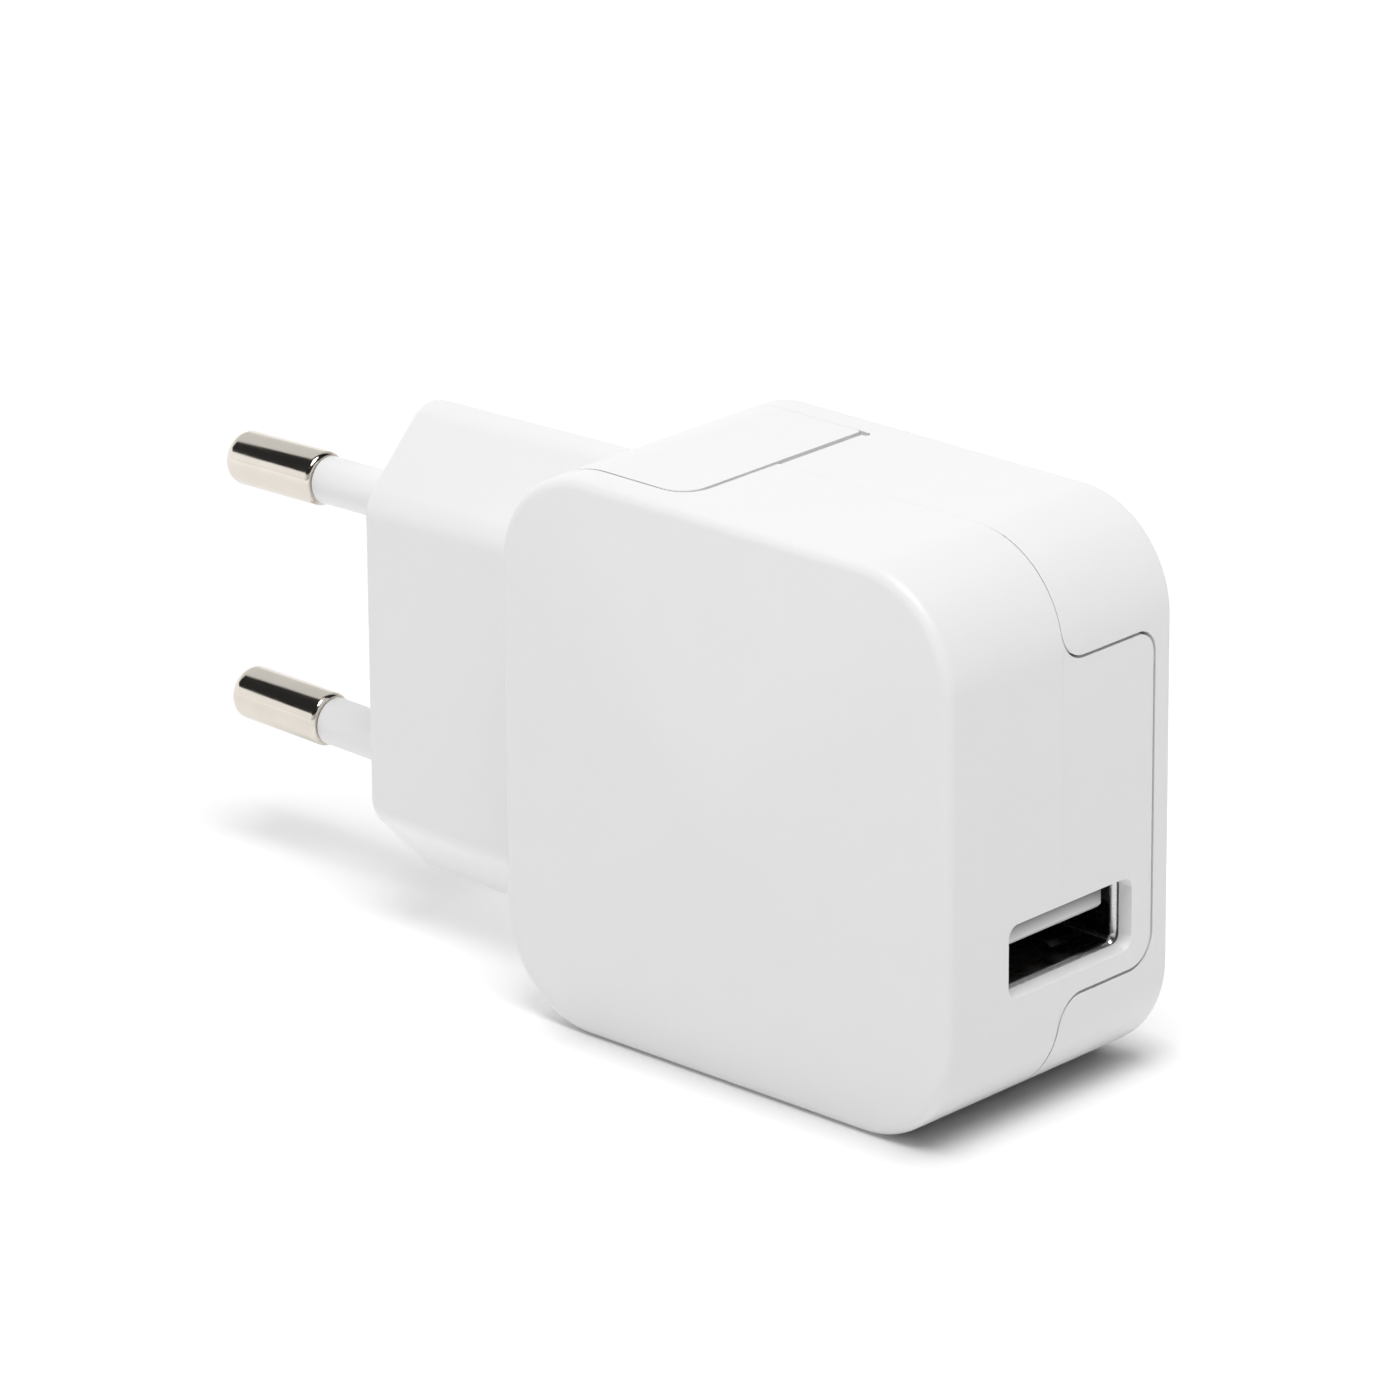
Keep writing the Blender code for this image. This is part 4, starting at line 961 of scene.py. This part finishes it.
def build_casing():
    """Shells, plug head and the inner mouldings."""
    white = (0.84, 0.84, 0.84)
    plastic = moulded_plastic("white_plastic", white, seam_line=True)
    stand_for(fine_front_shell(), "front_shell", plastic)
    rear = moulded_plastic("white_plastic_rear", white)
    stand_for(fine_rear_shell(), "rear_shell", rear)
    head = moulded_plastic("white_plastic_head", white)
    stand_for(fine_head_shell(), "plug_head_shell", head, "plug_head")
    dress("plug_base_plate", head)
    inner = moulded_plastic("grey_plastic", (0.74, 0.74, 0.74), 0.5)
    stand_for(fine_socket_block(), "socket_block", inner, "plug_head")
    stand_for(fine_inlet_housing(), "inlet_housing", inner)


def build_pins():
    """Plug pins and their sleeves, inlet pins and the lock stud."""
    metal = plated_metal("nickel", (0.77, 0.72, 0.65), 0.10, (0.06, 1, 1))
    tube = moulded_plastic("sleeve_plastic", (0.84, 0.84, 0.84), 0.38, 0.2)
    for label, sign in (("upper", 1), ("lower", -1)):
        pin = fine_pin("prong_pin_%s_fine" % label, sign)
        stand_for(pin, "prong_pin_" + label, metal, "plug_head")
        sleeve = fine_sleeve("prong_sleeve_%s_fine" % label, sign)
        stand_for(sleeve, "prong_sleeve_" + label, tube, "plug_head")
    for label, y in inlet_places():
        stand_for(fine_inlet_pin(label, y), "inlet_pin_" + label, metal)
    steel = plated_metal("stud_steel", (0.62, 0.61, 0.59), 0.22, scratch=0.08)
    stand_for(fine_lock_stud(), "lock_stud", steel)


def build_socket():
    """USB sleeve, contact tongue and contacts."""
    # the second colour is painted shade inside the USB sleeve
    steel = sleeve_steel("steel", (0.66, 0.66, 0.67), (0.16, 0.16, 0.17))
    stand_for(fine_usb_shell(), "usb_shell", steel)
    # the tongue's black back and darkened top are painted shade
    moulding = tongue_plastic("usb_insulator", (0.80, 0.80, 0.80), (0.03, 0.03, 0.03))
    stand_for(fine_usb_insulator(), "usb_insulator", moulding)
    gold = plated_metal("gold_contact", (0.83, 0.62, 0.30), 0.2, (0.1, 1, 1))
    for number, offset in enumerate(CONTACT_OFFSETS, 1):
        contact = fine_usb_contact(number, offset)
        stand_for(contact, "usb_contact_%d" % number, gold)


def build_insides():
    """Finished materials for the supply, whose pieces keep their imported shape."""
    board = circuit_board("board")
    for node in ("main_board", "usb_board"):
        dress(node, board)
    can = plain_part("capacitor_sleeve", (0.05, 0.06, 0.10), 0.3, 0.0, 600)
    for label in ("input_capacitor_upper", "input_capacitor_lower", "output_capacitor_upper",
                  "output_capacitor_lower"):
        dress(label, can)
    ferrite = plain_part("ferrite", (0.06, 0.06, 0.065), 0.65, 0.0, 2600, 0.00005, 0.3)
    for node in ("transformer_core_upper", "transformer_core_lower", "choke_core"):
        dress(node, ferrite)
    dress("transformer_bobbin", plain_part("bobbin_black", (0.03, 0.03, 0.03), 0.45))
    copper = wound_wire("copper", (0.75, 0.33, 0.15), "Z")
    for node in ("primary_winding", "secondary_winding"):
        dress(node, copper)
    dress("choke_winding", wound_wire("choke_copper", (0.75, 0.33, 0.15), "Y"))
    dress("winding_tape", plain_part("yellow_tape", (0.80, 0.60, 0.06), 0.32, 0.0, 300))
    dress("input_fuse", plain_part("fuse_ceramic", (0.72, 0.70, 0.66), 0.5))
    dress("y_capacitor", plain_part("ceramic_blue", (0.06, 0.20, 0.55), 0.3))
    chip = plain_part("chip_black", (0.022, 0.022, 0.024), 0.5, 0.0, 3200)
    for node in ("bridge_rectifier", "control_chip", "optocoupler", "output_rectifier"):
        dress(node, chip)
    dress("insulation_barrier", plain_part("barrier_film", (0.78, 0.80, 0.82), 0.25, 0.0, 200))
    dress("inlet_wire_front", plain_part("jacket_front", (0.22, 0.09, 0.04), 0.4))
    dress("inlet_wire_rear", plain_part("jacket_rear", (0.05, 0.16, 0.48), 0.4))
    brass = plated_metal("brass", (0.80, 0.58, 0.26), 0.3)
    for node in ("socket_contact_upper", "socket_contact_lower"):
        dress(node, brass)


# ---------------------------------------------------------------- floor, light and camera

FLOOR_SIZE = 6.0
FLOOR_ALBEDO = 0.64
FLOOR_GLOW = 0.38          # painted light: the sheet glows by itself, and more so far away
FAR_GLOW = 0.32
FAR_START = 40.0
FAR_FULL = 400.0
PAINTED_SHADOW_PATCH = (14.5, 9.5)   # half sizes of the painted contact shadow, a patch under the charger that no glow reaches
PAINTED_SHADOW_SHIFT = 2.0           # the painted shadow reaches further under the +X rounding
GLOW_START = 0.2
GLOW_FULL = 6.0            # millimetres outside that patch, over which the painted shadow fades


def build_floor():
    """A large pale sheet with the faintest paper grain, glowing with painted light round a painted shadow
    under the charger.
    """
    mesh = bpy.data.meshes.new("floor")
    half = FLOOR_SIZE / 2
    mesh.from_pydata([(-half, -half, 0), (half, -half, 0), (half, half, 0), (-half, half, 0)],
                     [], [(0, 1, 2, 3)])
    floor = bpy.data.objects.new("floor", mesh)
    bpy.context.scene.collection.objects.link(floor)
    shader = Shader("floor_white")
    shader.set(Roughness=0.6, Specular_IOR_Level=0.25)
    shader.set(Emission_Color=(1, 1, 1, 1))
    where = shader.node("ShaderNodeTexCoord")
    steps = (("SUBTRACT", (BODY_X + PAINTED_SHADOW_SHIFT * MM, 0, 0)), ("ABSOLUTE", None),
             ("SUBTRACT", (PAINTED_SHADOW_PATCH[0] * MM, PAINTED_SHADOW_PATCH[1] * MM, 1.0)),
             ("MAXIMUM", (0, 0, 0)))
    vector = where.outputs["Object"]
    for operation, second in steps:
        made = shader.node("ShaderNodeVectorMath", operation=operation)
        shader.link(vector, made.inputs[0])
        if second:
            made.inputs[1].default_value = second
        vector = made.outputs["Vector"]
    away = shader.node("ShaderNodeVectorMath", operation="LENGTH")
    shader.link(vector, away.inputs[0])
    # painted light: the floor glows, held off under the charger as a painted contact shadow
    glow = shader.ramp(away.outputs["Value"], 0.0, FLOOR_GLOW, GLOW_START * MM, GLOW_FULL * MM)
    far = shader.ramp(away.outputs["Value"], 0.0, FAR_GLOW, FAR_START * MM, FAR_FULL * MM)
    total = shader.node("ShaderNodeMath", operation="ADD")
    shader.link(glow, total.inputs[0])
    shader.link(far, total.inputs[1])
    shader.link(total.outputs["Value"], shader.main.inputs["Emission Strength"])
    shade = (FLOOR_ALBEDO, FLOOR_ALBEDO, FLOOR_ALBEDO)
    darker = tuple(c * 0.995 for c in shade)
    shader.color(shader.mix_color(shader.noise(40, 2), darker, shade))
    mesh.materials.append(shader.material)


# The studio: pale walls up to WALL_TOP all round and a tall white sweep behind the charger, with
# a dark room above the walls in front, and one soft box nearly overhead, a little to the front
# right. Angles are degrees. Every brightness here and on the floor was tuned one by one and by a
# least-squares fit to match tones, and none comes from a real studio.
WALL_TOP = 20
WALL_RADIANCE = 0.80
WALL_SLANT = 0.45          # the left walls are brighter than the right ones by this share
DARK_RADIANCE = 0.02
SWEEP_AZIMUTH = -137
SWEEP_REACH = 0.4
SWEEP_SHARE = 0.7          # of the walls' radiance
BOX_AZIMUTH = 50
BOX_ELEVATION = 75
BOX_DISTANCE = 0.9
BOX_SIZE = 0.5
BOX_WATTS = 7.75


def direction(azimuth, elevation):
    """Unit vector: azimuth from -Y towards +X, elevation from the floor."""
    az, el = math.radians(azimuth), math.radians(elevation)
    return Vector((math.sin(az) * math.cos(el), -math.cos(az) * math.cos(el), math.sin(el)))


def build_world():
    """The studio round the charger, as brightness by direction."""
    world = bpy.data.worlds.new("studio")
    world.use_nodes = True
    tree = world.node_tree
    where = tree.nodes.new("ShaderNodeTexCoord")

    def mask(axis, low, high):
        """Smooth step along one direction of the sky."""
        along = tree.nodes.new("ShaderNodeVectorMath")
        along.operation = "DOT_PRODUCT"
        along.inputs[1].default_value = axis
        tree.links.new(where.outputs["Generated"], along.inputs[0])
        step = tree.nodes.new("ShaderNodeMapRange")
        step.interpolation_type = "SMOOTHSTEP"
        step.inputs["From Min"].default_value = low
        step.inputs["From Max"].default_value = high
        tree.links.new(along.outputs["Value"], step.inputs["Value"])
        return step.outputs["Result"]

    wall_height = math.sin(math.radians(WALL_TOP))
    walls = mask((0, 0, -1), -wall_height - 0.03, -wall_height + 0.03)
    sweep = mask(direction(SWEEP_AZIMUTH, 0), SWEEP_REACH - 0.04, SWEEP_REACH + 0.04)
    dimmed = tree.nodes.new("ShaderNodeMath")
    dimmed.operation = "MULTIPLY"
    dimmed.inputs[1].default_value = SWEEP_SHARE
    tree.links.new(sweep, dimmed.inputs[0])
    lit = tree.nodes.new("ShaderNodeMath")
    lit.operation = "MAXIMUM"
    tree.links.new(walls, lit.inputs[0])
    tree.links.new(dimmed.outputs["Value"], lit.inputs[1])
    strength = tree.nodes.new("ShaderNodeMapRange")
    strength.inputs["To Min"].default_value = DARK_RADIANCE
    strength.inputs["To Max"].default_value = WALL_RADIANCE
    tree.links.new(lit.outputs["Value"], strength.inputs["Value"])
    slant = mask((-1, 0, 0), -1, 1)
    share = tree.nodes.new("ShaderNodeMapRange")
    share.inputs["To Min"].default_value = 1 - WALL_SLANT
    share.inputs["To Max"].default_value = 1 + WALL_SLANT
    tree.links.new(slant, share.inputs["Value"])
    total = tree.nodes.new("ShaderNodeMath")
    total.operation = "MULTIPLY"
    tree.links.new(strength.outputs["Result"], total.inputs[0])
    tree.links.new(share.outputs["Result"], total.inputs[1])
    backdrop = tree.nodes["Background"]
    backdrop.inputs["Color"].default_value = (1, 1, 1, 1)
    tree.links.new(total.outputs["Value"], backdrop.inputs["Strength"])
    bpy.context.scene.world = world


def build_lights():
    """The studio and the one soft box above the charger."""
    build_world()
    target = Vector((BODY_X, 0, MIDDLE * MM))
    toward = direction(BOX_AZIMUTH, BOX_ELEVATION)
    data = bpy.data.lights.new("soft_box", "AREA")
    data.shape = "SQUARE"
    data.size = BOX_SIZE
    data.energy = BOX_WATTS
    lamp = bpy.data.objects.new("soft_box", data)
    lamp.location = target + toward * BOX_DISTANCE
    lamp.rotation_euler = (-toward).to_track_quat("-Z", "Y").to_euler()
    bpy.context.scene.collection.objects.link(lamp)


CAMERA_AZIMUTH = 42.96
CAMERA_ELEVATION = 20.52
CAMERA_ROLL = -0.41
CAMERA_DISTANCE = 611.07
CAMERA_RIGHT = -9.125
CAMERA_UP = 23.266
CAMERA_FOCAL = 227.2       # on a 36 mm wide frame


def build_camera():
    """The camera at the fitted angle, distance and focal length."""
    az = math.radians(CAMERA_AZIMUTH)
    back = direction(CAMERA_AZIMUTH, CAMERA_ELEVATION)
    right = Vector((math.cos(az), math.sin(az), 0))
    up = back.cross(right)
    roll = math.radians(CAMERA_ROLL)
    right_rolled = right * math.cos(roll) + up * math.sin(roll)
    up_rolled = up * math.cos(roll) - right * math.sin(roll)
    place_at = back * CAMERA_DISTANCE + right * CAMERA_RIGHT + up * CAMERA_UP
    data = bpy.data.cameras.new("camera")
    data.lens = CAMERA_FOCAL
    data.sensor_width = 36
    data.clip_start = 0.01
    data.clip_end = 50
    camera = bpy.data.objects.new("camera", data)
    turn = Matrix((right_rolled, up_rolled, back)).transposed().to_4x4()
    camera.matrix_world = Matrix.Translation(place_at * MM + Vector((BODY_X, 0, 0))) @ turn
    bpy.context.scene.collection.objects.link(camera)
    bpy.context.scene.camera = camera


build_camera()
build_floor()
build_lights()
build_casing()
build_pins()
build_socket()
build_insides()
bpy.context.scene.view_settings.view_transform = "Standard"
bpy.context.view_layer.update()
